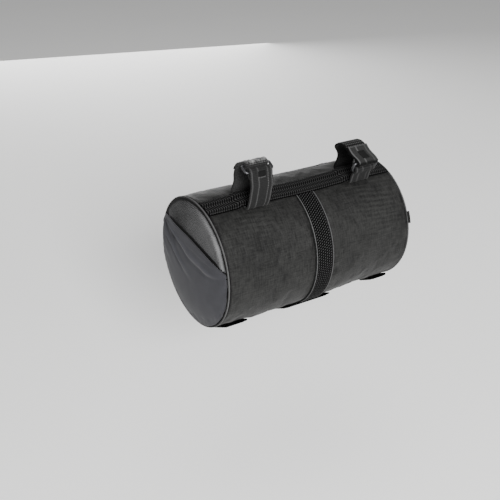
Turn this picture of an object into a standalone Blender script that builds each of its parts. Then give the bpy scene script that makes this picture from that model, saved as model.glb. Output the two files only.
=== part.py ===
"""Bicycle handlebar bag: a soft roll of about five litres that hangs from the bar on two straps.

Run it with blender --background --python part.py, or from Blender's text editor.

Metres, +Z up. The handlebar's axis is the X axis, with the rider's right at +X and the road ahead at +Y.
The origin is on that axis, midway between the straps. The bar itself isn't part of the bag. Angles round
the bar and round the barrel are in degrees from +Y towards +Z, so 90 is the top and 180 faces the rider.
"""

import bmesh
import bpy
import numpy as np
from mathutils import Vector

MM = 0.001

# The handlebar that the bag hangs on, and how the bag hangs from it
BAR_DIAMETER = 31.8 * MM
BAR_FIT = 0.5 * MM  # room between the bar and the straps round it
BAR_TO_BAG = 14 * MM  # clear space between the bar and the top of the barrel
HANG_FORWARD = 17  # degrees from straight down to the barrel's middle, towards the road ahead
STRAP_FRONT = -8  # where a strap meets the front of the bar

# The barrel and its ends
BARREL_DIAMETER = 160 * MM
BAG_LENGTH = 267 * MM
SHELL_THICKNESS = 2 * MM
PANEL_THICKNESS = 1.5 * MM
PANEL_BULGE = 5 * MM
PIPING_DIAMETER = 2.4 * MM
PIPING_PROUD = 0.6 * MM
PIECE_GAP = 0.4 * MM  # between cloth pieces that lie on each other
SEAM_GAP = 0.3 * MM  # between pieces sewn edge to edge

# The stretch pocket on each end
POCKET_THICKNESS = 1.2 * MM
POCKET_MOUTH = 3.5 * MM  # how far the hem stands off the panel
POCKET_BELLY = 5.5 * MM  # how far the pocket's middle stands off the panel
POCKET_FRONT = 31  # where the hem meets the front of the rim
POCKET_REAR = 167  # where the hem meets the rear of the rim
POCKET_CORNER = 5  # how much of the rim each corner takes
HEM_RISE = 7 * MM  # how far the hem bows up at its middle
GATHER_HEIGHT = 1.6 * MM

# Straps, webbing and their rings
STRAP_WIDTH = 30 * MM
STRAP_THICKNESS = 2 * MM
STRAP_SPACING = 143 * MM
STRAP_FOOT = 0.5  # how far the strap and its ring loop go on past the webbing's edges
FOOT_APART = 1  # where they end, to each side of the webbing's middle
LEAN_FROM = -2 * MM  # the height over the bar's axis from which a leaning strap shifts along the bar
LEAN_RISE = 16 * MM  # the height over which it shifts
WEBBING_WIDTH = 25 * MM
WEBBING_THICKNESS = 1.6 * MM
HUMP_SLOPE = 6 * MM
RING_WIRE = 3 * MM
RING_WINDOW = 8 * MM
RING_SIDE_ROOM = 1.5 * MM
RING_CORNER = 3 * MM
LOOP_UNDERLAP = 22  # how far the sewn inner layer of a ring loop runs back, round the bar
SETTLE = 26  # how far round the bar an outer layer takes to settle on the one below it
PATCH_WIDTH = 10 * MM
PATCH_HEIGHT = 5.5 * MM
PATCH_THICKNESS = 0.8 * MM

# Trim on the barrel
BAND_WIDTH = 26 * MM
BAND_THICKNESS = 1.4 * MM
BAND_BINDING = 3 * MM
BINDING_PROUD = 0.5 * MM
LOOP_WIDTH = 25 * MM
LOOP_CLEAR = 0.8 * MM  # between the barrel and the free part of a loop under it
LOOP_FOOT = 3 * MM
LOOP_SLOPE = 2 * MM
LOOP_MIDDLE_ANGLE = 243
ZIP_ANGLE = 45
ZIP_LENGTH = 220 * MM
ZIP_SLOT = 8 * MM
ZIP_TAPE = 24 * MM
ZIP_THICKNESS = 1.2 * MM
ZIP_TEETH = 5 * MM
ZIP_TEETH_PROUD = 1.4 * MM
SLIDER_LENGTH = 9 * MM
SLIDER_PROUD = 1.6 * MM
TAB_WIDTH = 15 * MM
TAB_THICKNESS = 1 * MM
TAB_PROUD = 1.6 * MM
TAB_FOLD = 0.7 * MM
TAB_ANGLE = 162

# Soft forms of the barrel. Columns: place along the bag as a share of its length from the middle, place
# round it in degrees, rise as a share of the radius, reach along as a share of the length, reach round it
# in degrees.
SOFT_FORMS = (
    (-0.12, 238, 0.024, 0.28, 50),  # the load's belly
    (0.18, 255, 0.012, 0.20, 40),
    (-0.26, 107, 0.012, 0.12, 24),  # pulled up at the left strap
    (0.26, 107, 0.012, 0.12, 24),  # and at the right strap
    (0.00, 107, -0.016, 0.14, 30),  # hollow between the straps
    (-0.16, 178, -0.010, 0.12, 26),  # slack beside the band
    (0.34, 205, -0.022, 0.13, 30),  # flat place at the right rear
    (0.30, 160, 0.008, 0.12, 28),
    (-0.20, 325, -0.015, 0.14, 30),  # slack in the hidden front
    (0.22, 300, -0.012, 0.12, 26),
)

# Gathers of a pocket, which fan out from its front corner. Columns: place between hem and rim as a share,
# height as a share of GATHER_HEIGHT, reach from the corner as a share of the hem's length.
GATHERS = (
    (0.20, 0.8, 0.45),
    (0.40, 1.0, 0.60),
    (0.60, 1.0, 0.45),
    (0.80, 0.5, 0.35),
)

# The two straps. Columns: name, place along the bag as a share of STRAP_SPACING, lean along the bar at the
# strap's top as a share of its width, then places round the bar: the ring's window, the strap's loose end,
# where the ring's loop leaves the bar, and the patch.
STRAPS = (
    ("left", -0.50, 0, 120, 25, 196, 146),
    ("right", 0.55, -0.3, 203, 118, 230, 164),
)

# Loops under the bag. Columns: name, start and end as shares of the bag's length from its middle, and
# thickness, which is more where the webbing is doubled.
BOTTOM_LOOPS = (
    ("left", -0.462, -0.332, 2.6 * MM),
    ("middle", -0.132, 0.132, 2.0 * MM),
    ("right", 0.385, 0.487, 3.2 * MM),
)

# Colours of the cloth and wire, linear
BLACK_CLOTH = (0.020, 0.020, 0.021)
GREY_CLOTH = (0.090, 0.090, 0.092)
STRETCH_CLOTH = (0.055, 0.055, 0.062)
BLACK_WEBBING = (0.014, 0.014, 0.014)
STRAP_CLOTH = (0.035, 0.035, 0.035)
GUNMETAL = (0.30, 0.30, 0.31)

# Sizes that follow from the ones above
BARREL_RADIUS = BARREL_DIAMETER / 2
BAR_TO_MIDDLE = BAR_DIAMETER / 2 + BAR_TO_BAG + BARREL_RADIUS
HANG = np.radians(HANG_FORWARD)
BAG_MIDDLE = np.array([BAR_TO_MIDDLE * np.sin(HANG), -BAR_TO_MIDDLE * np.cos(HANG)])
TOP_ANGLE = 90 + HANG_FORWARD  # the place on the barrel that is nearest the bar
PIPING_RADIUS = PIPING_DIAMETER / 2
PIPING_RING = BARREL_RADIUS + PIPING_PROUD - PIPING_RADIUS
RIM_X = BAG_LENGTH / 2 - PIPING_RADIUS
BARREL_HALF = BAG_LENGTH / 2 - PIPING_DIAMETER - SEAM_GAP
PANEL_RADIUS = PIPING_RING - PIPING_RADIUS - SEAM_GAP
POCKET_GAP = (PANEL_THICKNESS + POCKET_THICKNESS) / 2 + SEAM_GAP
INNER_LAYER = BAR_DIAMETER / 2 + BAR_FIT + STRAP_THICKNESS / 2
FOLD_RADIUS = RING_WIRE / 2 + SEAM_GAP + STRAP_THICKNESS / 2
RING_LAYER = INNER_LAYER + FOLD_RADIUS
OUTER_LAYER = INNER_LAYER + STRAP_THICKNESS + SEAM_GAP
RING_HALF_ANGLE = np.degrees(np.arcsin((RING_WINDOW + RING_WIRE) / 2 / RING_LAYER))
WEBBING_HALF_ANGLE = np.degrees(WEBBING_WIDTH / 2 / BARREL_RADIUS)

# Faces of the soft sheets
AROUND_CELLS = 48
ALONG_CELLS = 16
PANEL_RINGS = (0, 0.3, 0.58, 0.8, 0.93, 1)
POCKET_CELLS = (22, 10)


def direction(degrees):
    """Unit vectors in the YZ plane, as rows of y and z."""
    turn = np.radians(degrees)
    return np.stack([np.cos(turn), np.sin(turn)], -1)


def spread(share, stations):
    """Values between unevenly placed stations, for shares from 0 to 1."""
    return np.interp(share, np.linspace(0, 1, len(stations)), stations)


def smooth_step(value):
    """0 below 0, 1 above 1, and a smooth slope between."""
    share = np.clip(value, 0, 1)
    return share * share * (3 - 2 * share)


def barrel_radius(x, degrees):
    """Outer radius of the barrel: round at its rims, with the soft forms between them."""
    along = x / BAG_LENGTH
    rise = 0
    for place, middle, height, reach_along, reach_round in SOFT_FORMS:
        turn = (degrees - middle + 180) % 360 - 180
        rise = rise + height * np.exp(-(((along - place) / reach_along) ** 2) - (turn / reach_round) ** 2)
    held = np.clip(1 - np.abs(x / BARREL_HALF) ** 6, 0, 1)
    return BARREL_RADIUS * (1 + held * rise)


def on_barrel(x, degrees, height):
    """Points a height above the barrel's cloth."""
    side = direction(degrees) * (barrel_radius(x, degrees) + height)[..., None]
    return np.column_stack([x, BAG_MIDDLE[0] + side[:, 0], BAG_MIDDLE[1] + side[:, 1]])


def collection(name):
    """A new collection in the scene."""
    made = bpy.data.collections.new(name)
    bpy.context.scene.collection.children.link(made)
    return made


def finish(thing, colour, roughness, metallic=0.0):
    """Give a piece its own material and put it in the bag's collection."""
    material = bpy.data.materials.new(thing.name)
    material.use_nodes = True
    shader = material.node_tree.nodes["Principled BSDF"]
    shader.inputs["Base Color"].default_value = (*colour, 1)
    shader.inputs["Roughness"].default_value = roughness
    shader.inputs["Metallic"].default_value = metallic
    thing.data.materials.clear()
    thing.data.materials.append(material)
    for holder in list(thing.users_collection):
        holder.objects.unlink(thing)
    BAG.objects.link(thing)
    return thing


def cloth(name, cells, thickness, place, colour, roughness, hole=None):
    """A sheet of cloth: place(u, v) lays out its middle surface, with u and v from 0 to 1, and Solidify
    gives it its thickness. Edges that meet are joined, and cells that hole(u, v) names are left out."""
    sheet = bmesh.new()
    bmesh.ops.create_grid(sheet, x_segments=cells[0], y_segments=cells[1], size=0.5)
    if hole:
        half = Vector((0.5, 0.5))
        gone = [face for face in sheet.faces if hole(*(face.calc_center_median().xy + half))]
        bmesh.ops.delete(sheet, geom=gone, context="FACES")
    flat = np.array([vertex.co.xy for vertex in sheet.verts]) + 0.5
    for vertex, point in zip(sheet.verts, place(flat[:, 0], flat[:, 1])):
        vertex.co = point
    bmesh.ops.remove_doubles(sheet, verts=sheet.verts, dist=0.01 * MM)
    mesh = bpy.data.meshes.new(name)
    sheet.to_mesh(mesh)
    sheet.free()
    mesh.shade_smooth()
    thing = bpy.data.objects.new(name, mesh)
    wall = thing.modifiers.new("thickness", "SOLIDIFY")
    wall.thickness = thickness
    wall.offset = 0
    wall.use_even_offset = True
    wall.use_quality_normals = True
    return finish(thing, colour, roughness)


def ribbon(name, path, middle_x, width, thickness, colour, roughness, lean=0):
    """A flat strap: a path in the YZ plane, carried along X for its width, and shifted by lean at its top."""
    last = len(path) - 1
    shift = lean * smooth_step((path[:, 1] - LEAN_FROM) / LEAN_RISE)

    def place(u, v):
        step = np.rint(u * last).astype(int)
        across = middle_x + shift[step] + (v - 0.5) * width
        return np.column_stack([across, path[step]])

    return cloth(name, (last, 2), thickness, place, colour, roughness)


def barrel():
    """The cloth tube, open at both ends, with the slot that the zip closes."""
    slot = np.degrees(ZIP_SLOT / BARREL_RADIUS)
    stations_x = [-BARREL_HALF, *np.linspace(-ZIP_LENGTH / 2, ZIP_LENGTH / 2, ALONG_CELLS - 1), BARREL_HALF]
    stations_turn = ZIP_ANGLE + np.array([-slot / 2, *np.linspace(slot / 2, 360 - slot / 2, AROUND_CELLS)])

    def place(u, v):
        return on_barrel(spread(u, stations_x), spread(v, stations_turn), -SHELL_THICKNESS / 2)

    def hole(u, v):
        return v < 1 / AROUND_CELLS and 1 / ALONG_CELLS < u < 1 - 1 / ALONG_CELLS

    cloth("barrel", (ALONG_CELLS, AROUND_CELLS), SHELL_THICKNESS, place, BLACK_CLOTH, 0.75, hole)


def panel_face(radius):
    """How far from the bag's middle an end panel's cloth lies: flat inside, rounded down to its rim."""
    return RIM_X + PANEL_BULGE * (1 - (radius / PANEL_RADIUS) ** 3.2)


def end_panel(name, side):
    """A round cloth end, pushed out by what is inside."""

    def place(u, v):
        radius = PANEL_RADIUS * spread(v, PANEL_RINGS)
        points = BAG_MIDDLE + direction(360 * u) * radius[:, None]
        return np.column_stack([side * panel_face(radius), points])

    cells = (AROUND_CELLS, len(PANEL_RINGS) - 1)
    cloth("end_panel_" + name, cells, PANEL_THICKNESS, place, GREY_CLOTH, 0.8)


def rim_piping(name, side):
    """The cord in the seam between the barrel and an end panel."""
    bpy.ops.mesh.primitive_torus_add(
        location=(side * RIM_X, *BAG_MIDDLE),
        rotation=(0, np.pi / 2, 0),
        major_radius=PIPING_RING,
        minor_radius=PIPING_RADIUS,
        major_segments=AROUND_CELLS,
        minor_segments=6,
    )
    ring = bpy.context.object
    ring.name = "rim_piping_" + name
    ring.data.shade_smooth()
    finish(ring, STRAP_CLOTH, 0.6)


def pocket_lift(u, v):
    """How far a pocket stands off the panel: u runs along the hem from its front corner, v from the hem to
    the rim. It is sewn down at the rim and at both corners."""
    held = np.sin(np.pi * np.clip(u, 0, 1)) ** 0.7
    lift = held * (POCKET_MOUTH * (1 - v) ** 2 + POCKET_BELLY * np.sin(np.pi * v))
    for place, height, reach in GATHERS:
        fade = smooth_step(u / 0.08) * (1 - smooth_step((u - 0.1) / reach))
        lift = lift + GATHER_HEIGHT * height * fade * np.exp(-(((v - place) / 0.07) ** 2))
    return lift


def side_pocket(name, side):
    """A stretch pocket over the lower part of an end, open along its hem, which bows up a little."""
    front, rear = direction(POCKET_FRONT), direction(POCKET_REAR)
    square = np.array([rear[1] - front[1], front[0] - rear[0]])
    up = square / np.linalg.norm(square)

    def place(u, v):
        hem = front + (rear - front) * u[:, None]
        hem = PANEL_RADIUS * hem + up * (HEM_RISE * 4 * u * (1 - u))[:, None]
        start = POCKET_FRONT - POCKET_CORNER
        stop = POCKET_REAR + POCKET_CORNER - 360
        rim = PANEL_RADIUS * direction(start + (stop - start) * u)
        flat = hem + (rim - hem) * v[:, None]
        radius = np.linalg.norm(flat, axis=1)
        out = panel_face(radius) + POCKET_GAP + pocket_lift(u, v)
        return np.column_stack([side * out, BAG_MIDDLE + flat])

    cloth("side_pocket_" + name, POCKET_CELLS, POCKET_THICKNESS, place, STRETCH_CLOTH, 0.7)


def top_webbing():
    """Webbing along the top of the barrel, raised where each strap runs under it."""
    flat = STRAP_WIDTH / 2 + 1 * MM
    middles = [row[1] * STRAP_SPACING for row in STRAPS]
    humps = [middle + edge * reach
             for middle in middles
             for edge in (-1, 1)
             for reach in (flat, flat + HUMP_SLOPE)]
    plain = [side * BARREL_HALF * share for side in (-1, 1) for share in (1, 0.85, 0.22)]
    stations = sorted([*humps, *plain, 0, *middles])

    def place(u, v):
        x = spread(u, stations)
        past = np.min([np.abs(x - middle) for middle in middles], axis=0) - flat
        raised = (STRAP_THICKNESS + PIECE_GAP) * (1 - smooth_step(past / HUMP_SLOPE))
        turn = TOP_ANGLE + (v - 0.5) * 2 * WEBBING_HALF_ANGLE
        return on_barrel(x, turn, PIECE_GAP + raised + WEBBING_THICKNESS / 2)

    cloth("top_webbing", (len(stations) - 1, 4), WEBBING_THICKNESS, place, BLACK_WEBBING, 0.8)


def bridge(start, start_way, stop, stop_way, steps):
    """The points between two ends of a smooth curve that is given by its directions there."""
    share = np.linspace(0, 1, steps + 1)[1:-1, None]
    pull = np.linalg.norm(stop - start)
    from_start = (2 * share**3 - 3 * share**2 + 1) * start + (share**3 - 2 * share**2 + share) * pull * start_way
    to_stop = (3 * share**2 - 2 * share**3) * stop + (share**3 - share**2) * pull * stop_way
    return from_start + to_stop


def foot(middle_x, start, stop):
    """The stretch of a strap that lies on the barrel, under the webbing."""
    turn = np.linspace(start, stop, 4)
    height = barrel_radius(middle_x, turn) + PIECE_GAP + STRAP_THICKNESS / 2
    return BAG_MIDDLE + direction(turn) * height[:, None]


def bar_arc(layer, start, stop):
    """Points round the bar, at a radius that layer(degrees) gives."""
    turn = np.linspace(start, stop, max(2, round(abs(stop - start) / 11)) + 1)
    return direction(turn) * layer(turn)[:, None]


def inner_layer(turn):
    """The radius of a layer that lies on the bar."""
    return INNER_LAYER + 0 * turn


def outer_layer(turn, wire):
    """The radius of a layer that comes off a ring's wire and settles on the layer below it."""
    over_wire = RING_LAYER + FOLD_RADIUS - OUTER_LAYER
    return OUTER_LAYER + over_wire * (1 - smooth_step(np.abs(turn - wire) / SETTLE))


def fold(wire, start):
    """The half turn of a strap round a ring's wire, from the bar's side to the outside."""
    turn = np.linspace(start, wire, 7)[1:-1]
    return RING_LAYER * direction(wire) + FOLD_RADIUS * direction(turn)


def bar_strap(name, middle_x, lean, ring, loose_end):
    """The strap: from under the webbing up the front, over the bar, through the ring and back on itself."""
    wire = ring - RING_HALF_ANGLE
    edge = TOP_ANGLE - WEBBING_HALF_ANGLE - STRAP_FOOT
    under = foot(middle_x, TOP_ANGLE - FOOT_APART, edge)
    over = bar_arc(inner_layer, STRAP_FRONT, wire)
    rise = bridge(under[-1], direction(edge - 90), over[0], direction(STRAP_FRONT + 90), 7)
    back = bar_arc(lambda turn: outer_layer(turn, wire), wire, loose_end)
    path = np.concatenate([under, rise, over, fold(wire, wire + 180), back])
    ribbon("bar_strap_" + name, path, middle_x, STRAP_WIDTH, STRAP_THICKNESS, STRAP_CLOTH, 0.85, lean)


def ring_loop(name, middle_x, ring, leaves):
    """The webbing that holds the ring: sewn double round its lower wire, then down to the bag."""
    wire = ring + RING_HALF_ANGLE
    edge = TOP_ANGLE + WEBBING_HALF_ANGLE + STRAP_FOOT
    inside = bar_arc(inner_layer, wire + LOOP_UNDERLAP, wire)
    outside = bar_arc(lambda turn: outer_layer(turn, wire), wire, leaves)
    under = foot(middle_x, edge, TOP_ANGLE + FOOT_APART)
    drop = bridge(outside[-1], direction(leaves + 90), under[0], direction(edge - 90), 7)
    path = np.concatenate([inside, fold(wire, wire - 180), outside, drop, under])
    ribbon("ring_loop_" + name, path, middle_x, STRAP_WIDTH, STRAP_THICKNESS, BLACK_WEBBING, 0.8)


def strap_ring(name, middle_x, ring):
    """A rectangular wire ring, lying over the bar."""
    half_x = STRAP_WIDTH / 2 + RING_SIDE_ROOM + RING_WIRE / 2
    half_y = (RING_WINDOW + RING_WIRE) / 2
    data = bpy.data.curves.new("strap_ring_" + name, "CURVE")
    data.dimensions = "3D"
    data.bevel_depth = RING_WIRE / 2
    data.bevel_resolution = 2
    corners = []
    for number in range(4):
        x_sign, y_sign = ((1, 1), (-1, 1), (-1, -1), (1, -1))[number]
        turn = direction(np.linspace(90 * number, 90 * number + 90, 4))
        middle = np.array([x_sign * (half_x - RING_CORNER), y_sign * (half_y - RING_CORNER)])
        corners.extend(middle + RING_CORNER * turn)
    spline = data.splines.new("POLY")
    spline.points.add(len(corners) - 1)
    out = direction(ring)
    way = direction(ring + 90)
    height = RING_LAYER * np.cos(np.radians(RING_HALF_ANGLE))
    for point, (x, y) in zip(spline.points, corners):
        point.co = (middle_x + x, *(out * height + way * y), 1)
    spline.use_cyclic_u = True
    spline.use_smooth = True
    thing = bpy.data.objects.new(data.name, data)
    finish(thing, GUNMETAL, 0.35, 1.0)


def strap_patch(name, middle_x, lean, ring, place):
    """A small patch on the outer layer, on the strap's own side of the ring or on its loop's side."""
    wire = ring + RING_HALF_ANGLE * (1 if place > ring else -1)
    reach = np.degrees(PATCH_HEIGHT / 2 / OUTER_LAYER)
    turn = np.linspace(place - reach, place + reach, 4)
    height = outer_layer(turn, wire) + (STRAP_THICKNESS + PATCH_THICKNESS) / 2 + SEAM_GAP
    path = direction(turn) * height[:, None]
    ribbon("strap_patch_" + name, path, middle_x, PATCH_WIDTH, PATCH_THICKNESS, BLACK_CLOTH, 0.6, lean)


def centre_band():
    """The band down the rear of the barrel, from the webbing to the loop under it, with bound edges."""
    half = BAND_WIDTH / 2
    inside = half - BAND_BINDING
    stations = (-half, -inside, -inside + BINDING_PROUD, inside - BINDING_PROUD, inside, half)
    start = TOP_ANGLE + np.degrees((WEBBING_WIDTH / 2 + SEAM_GAP) / BARREL_RADIUS)
    stop = LOOP_MIDDLE_ANGLE - np.degrees((LOOP_WIDTH / 2 + SEAM_GAP) / BARREL_RADIUS)

    def place(u, v):
        x = spread(v, stations)
        bound = np.where(np.abs(x) > inside - BINDING_PROUD / 2, BINDING_PROUD, 0)
        return on_barrel(x, start + (stop - start) * u, PIECE_GAP + bound + BAND_THICKNESS / 2)

    cells = (18, len(stations) - 1)
    cloth("centre_band", cells, BAND_THICKNESS, place, BLACK_WEBBING, 0.9)


def bottom_loop(name, start, stop, thickness):
    """A length of webbing sewn down at both ends, which stands clear of the barrel between them."""
    start_x, stop_x = start * BAG_LENGTH, stop * BAG_LENGTH
    rise = LOOP_FOOT + LOOP_SLOPE
    stations = (start_x, start_x + LOOP_FOOT, start_x + rise, stop_x - rise, stop_x - LOOP_FOOT, stop_x)
    out = direction(LOOP_MIDDLE_ANGLE)
    way = direction(LOOP_MIDDLE_ANGLE + 90)
    fullest = barrel_radius(np.linspace(start_x, stop_x, 9), LOOP_MIDDLE_ANGLE).max()

    def place(u, v):
        x = spread(u, stations)
        sewn = barrel_radius(x, LOOP_MIDDLE_ANGLE) + PIECE_GAP
        inside = np.minimum(x - start_x, stop_x - x) > LOOP_FOOT + LOOP_SLOPE / 2
        height = np.where(inside, fullest + LOOP_CLEAR, sewn) + thickness / 2
        across = way * ((v - 0.5) * LOOP_WIDTH)[:, None]
        return np.column_stack([x, BAG_MIDDLE + out * height[:, None] + across])

    cells = (len(stations) - 1, 1)
    cloth("bottom_loop_" + name, cells, thickness, place, BLACK_WEBBING, 0.8)


def zipper():
    """The closure on the hidden front, one plain piece: two tapes, the row of teeth and the slider."""
    half, teeth = ZIP_TAPE / 2, ZIP_TEETH / 2
    stations_side = (-half, -teeth * 1.6, -teeth, 0, teeth, teeth * 1.6, half)
    stations_proud = (0, 0, ZIP_TEETH_PROUD, ZIP_TEETH_PROUD, ZIP_TEETH_PROUD, 0, 0)
    end_x = ZIP_LENGTH / 2 + (ZIP_TAPE - ZIP_SLOT) / 2
    slider_x = ZIP_LENGTH / 2 - SLIDER_LENGTH
    stations_x = [-end_x, *np.linspace(-ZIP_LENGTH / 2, slider_x - SLIDER_LENGTH, 13),
                  slider_x - SLIDER_LENGTH / 2, slider_x + SLIDER_LENGTH / 2, ZIP_LENGTH / 2, end_x]

    def place(u, v):
        x = spread(u, stations_x)
        turn = ZIP_ANGLE + np.degrees(spread(v, stations_side) / BARREL_RADIUS)
        proud = spread(v, stations_proud)
        slider = np.where(np.abs(x - slider_x) < SLIDER_LENGTH * 0.6, SLIDER_PROUD / ZIP_TEETH_PROUD, 0)
        height = PIECE_GAP + ZIP_THICKNESS / 2 + proud * (1 + slider)
        return on_barrel(x, turn, height)

    cells = (len(stations_x) - 1, len(stations_side) - 1)
    cloth("zipper", cells, ZIP_THICKNESS, place, BLACK_CLOTH, 0.6)


def side_tab():
    """A folded tape that stands out of the right rim's seam, between the barrel and the end panel."""
    root = PIPING_RADIUS + SEAM_GAP + TAB_THICKNESS / 2
    turn = np.linspace(-90, 90, 6)
    along = np.array([0, *(TAB_PROUD - TAB_FOLD + TAB_FOLD * np.cos(np.radians(turn))), 0]) + root
    aside = np.array([-TAB_FOLD, *(TAB_FOLD * np.sin(np.radians(turn))), TAB_FOLD])
    diagonal = np.sqrt(0.5)
    path_x = RIM_X + diagonal * (along + aside)
    path_radius = PIPING_RING + diagonal * (along - aside)
    last = len(along) - 1
    half = np.degrees(TAB_WIDTH / 2 / BARREL_RADIUS)

    def place(u, v):
        step = np.rint(u * last).astype(int)
        side = direction(TAB_ANGLE + (2 * v - 1) * half) * path_radius[step][:, None]
        return np.column_stack([path_x[step], BAG_MIDDLE + side])

    cloth("side_tab_right", (last, 3), TAB_THICKNESS, place, BLACK_WEBBING, 0.8)


for old in list(bpy.data.objects):
    bpy.data.objects.remove(old, do_unlink=True)
BAG = collection("handlebar_bag")

barrel()
zipper()
top_webbing()
centre_band()
for end_name, end_side in (("left", -1), ("right", 1)):
    end_panel(end_name, end_side)
    side_pocket(end_name, end_side)
    rim_piping(end_name, end_side)
for strap_name, strap_place, strap_lean, ring_turn, loose_turn, leave_turn, patch_turn in STRAPS:
    strap_x, shift_x = strap_place * STRAP_SPACING, strap_lean * STRAP_WIDTH
    bar_strap(strap_name, strap_x, shift_x, ring_turn, loose_turn)
    ring_loop(strap_name, strap_x, ring_turn, leave_turn)
    strap_ring(strap_name, strap_x, ring_turn)
    strap_patch(strap_name, strap_x, shift_x, ring_turn, patch_turn)
for loop_name, loop_start, loop_stop, loop_thickness in BOTTOM_LOOPS:
    bottom_loop(loop_name, loop_start, loop_stop, loop_thickness)
side_tab()
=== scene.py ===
# %% [markdown]
# # A handlebar bag, dressed around its solids
#
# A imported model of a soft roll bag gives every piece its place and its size. This lesson builds the cloth, the
# webbing, the rings and the thread around it, one piece at a time. Each surface is worked out with numpy as a
# function of two parameters, and each finish is a small set of shader nodes.
#
# The handlebar's axis is the X axis, the road ahead is +Y, and up is +Z. Angles round the bar and round the
# bag are in degrees from +Y towards +Z, so 90 is the top and 180 faces the rider.

import bmesh
import bpy
import numpy as np
from mathutils import Matrix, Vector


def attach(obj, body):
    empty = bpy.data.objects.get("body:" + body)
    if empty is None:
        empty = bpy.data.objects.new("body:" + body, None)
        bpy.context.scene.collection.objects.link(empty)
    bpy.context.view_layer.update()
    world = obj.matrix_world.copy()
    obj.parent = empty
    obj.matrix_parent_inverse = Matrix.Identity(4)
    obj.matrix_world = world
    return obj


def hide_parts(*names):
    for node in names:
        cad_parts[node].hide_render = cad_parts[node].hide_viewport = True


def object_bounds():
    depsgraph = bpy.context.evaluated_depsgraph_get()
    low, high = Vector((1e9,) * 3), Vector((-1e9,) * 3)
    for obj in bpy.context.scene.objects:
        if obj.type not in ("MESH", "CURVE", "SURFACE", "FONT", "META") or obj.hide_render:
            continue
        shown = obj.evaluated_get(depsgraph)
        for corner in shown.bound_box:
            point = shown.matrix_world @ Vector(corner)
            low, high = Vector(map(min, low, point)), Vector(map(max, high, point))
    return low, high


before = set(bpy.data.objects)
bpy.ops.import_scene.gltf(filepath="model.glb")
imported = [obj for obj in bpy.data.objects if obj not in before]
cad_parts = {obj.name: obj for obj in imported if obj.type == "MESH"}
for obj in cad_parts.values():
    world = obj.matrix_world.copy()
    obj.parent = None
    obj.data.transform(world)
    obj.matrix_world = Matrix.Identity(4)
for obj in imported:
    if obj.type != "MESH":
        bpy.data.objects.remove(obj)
solid_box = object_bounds()
low, high = ([round(c, 3) for c in corner] for corner in solid_box)
print("solids:", len(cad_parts), "from", low, "to", high)

# %% [markdown]
# ## The bag's sizes
#
# These are the sizes that the solids were made from. The bag hangs a little ahead of the bar, so the top of
# the barrel, the place nearest the bar, is at 107 degrees.

# %% Sizes of the bag
MM = 0.001
BAR_RADIUS = 15.9 * MM
BARREL_RADIUS = 80 * MM
BAG_LENGTH = 267 * MM
BAR_TO_BAG = 14 * MM
HANG_FORWARD = 17  # degrees
TOP_ANGLE = 90 + HANG_FORWARD
BAR_TO_MIDDLE = BAR_RADIUS + BAR_TO_BAG + BARREL_RADIUS
BAG_MIDDLE = BAR_TO_MIDDLE * np.array([np.sin(np.radians(HANG_FORWARD)), -np.cos(np.radians(HANG_FORWARD))])
PIPING_RADIUS = 1.2 * MM
PIPING_PROUD = 0.6 * MM
SEAM_GAP = 0.3 * MM
PIECE_GAP = 0.4 * MM
PIPING_RING = BARREL_RADIUS + PIPING_PROUD - PIPING_RADIUS
RIM_X = BAG_LENGTH / 2 - PIPING_RADIUS
BARREL_HALF = BAG_LENGTH / 2 - 2 * PIPING_RADIUS - SEAM_GAP
PANEL_RADIUS = PIPING_RING - PIPING_RADIUS - SEAM_GAP
print("the bag's middle line is at y, z =", BAG_MIDDLE.round(4))

# %% Directions and easing
def direction(degrees):
    """Unit vectors in the YZ plane: the cosine along Y and the sine along Z."""
    turn = np.radians(degrees)
    return np.stack([np.cos(turn), np.sin(turn)], -1)


def ease(value):
    """Smooth step: 0 below 0, 1 above 1, and 3v^2 - 2v^3 between."""
    share = np.clip(value, 0, 1)
    return share * share * (3 - 2 * share)


def bump(distance, reach):
    """A bell: the exponential of minus the squared distance over the squared reach."""
    return np.exp(-((distance / reach) ** 2))


# %% The barrel's soft forms
# Columns: place along as a share of the length, place round in degrees, rise as a share of the radius,
# reach along as a share of the length, reach round in degrees.
SOFT_FORMS = (
    (-0.12, 238, 0.024, 0.28, 50),  # the load's belly
    (0.18, 255, 0.012, 0.20, 40),
    (-0.26, 107, 0.012, 0.12, 24),  # pulled up at each strap
    (0.26, 107, 0.012, 0.12, 24),
    (0.00, 107, -0.016, 0.14, 30),  # hollow between the straps
    (-0.16, 178, -0.010, 0.12, 26),  # slack beside the band
    (0.34, 205, -0.022, 0.13, 30),  # flat place at the right rear
    (0.30, 160, 0.008, 0.12, 28),
    (-0.20, 325, -0.015, 0.14, 30),  # slack in the front
    (0.22, 300, -0.012, 0.12, 26),
)


def barrel_radius(x, degrees):
    """The radius of the barrel: its round rims, times one plus the sum of the soft forms, each a bell in
    the two directions."""
    rise = 0
    for place, middle, height, reach_along, reach_round in SOFT_FORMS:
        turn = (degrees - middle + 180) % 360 - 180
        rise = rise + height * bump(x / BAG_LENGTH - place, reach_along) * bump(turn, reach_round)
    held = np.clip(1 - np.abs(x / BARREL_HALF) ** 6, 0, 1)
    return BARREL_RADIUS * (1 + held * rise)


def on_barrel(x, degrees, height):
    """Points above the barrel's cloth: the middle line plus radius and height in the given direction."""
    x, degrees, height = np.broadcast_arrays(x, degrees, height)
    side = (barrel_radius(x, degrees) + height)[..., None] * direction(degrees)
    return np.concatenate([x[..., None], BAG_MIDDLE + side], -1)


print("radius at the belly:", round(float(barrel_radius(-0.03, 238)) / MM, 1), "mm")
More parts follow.
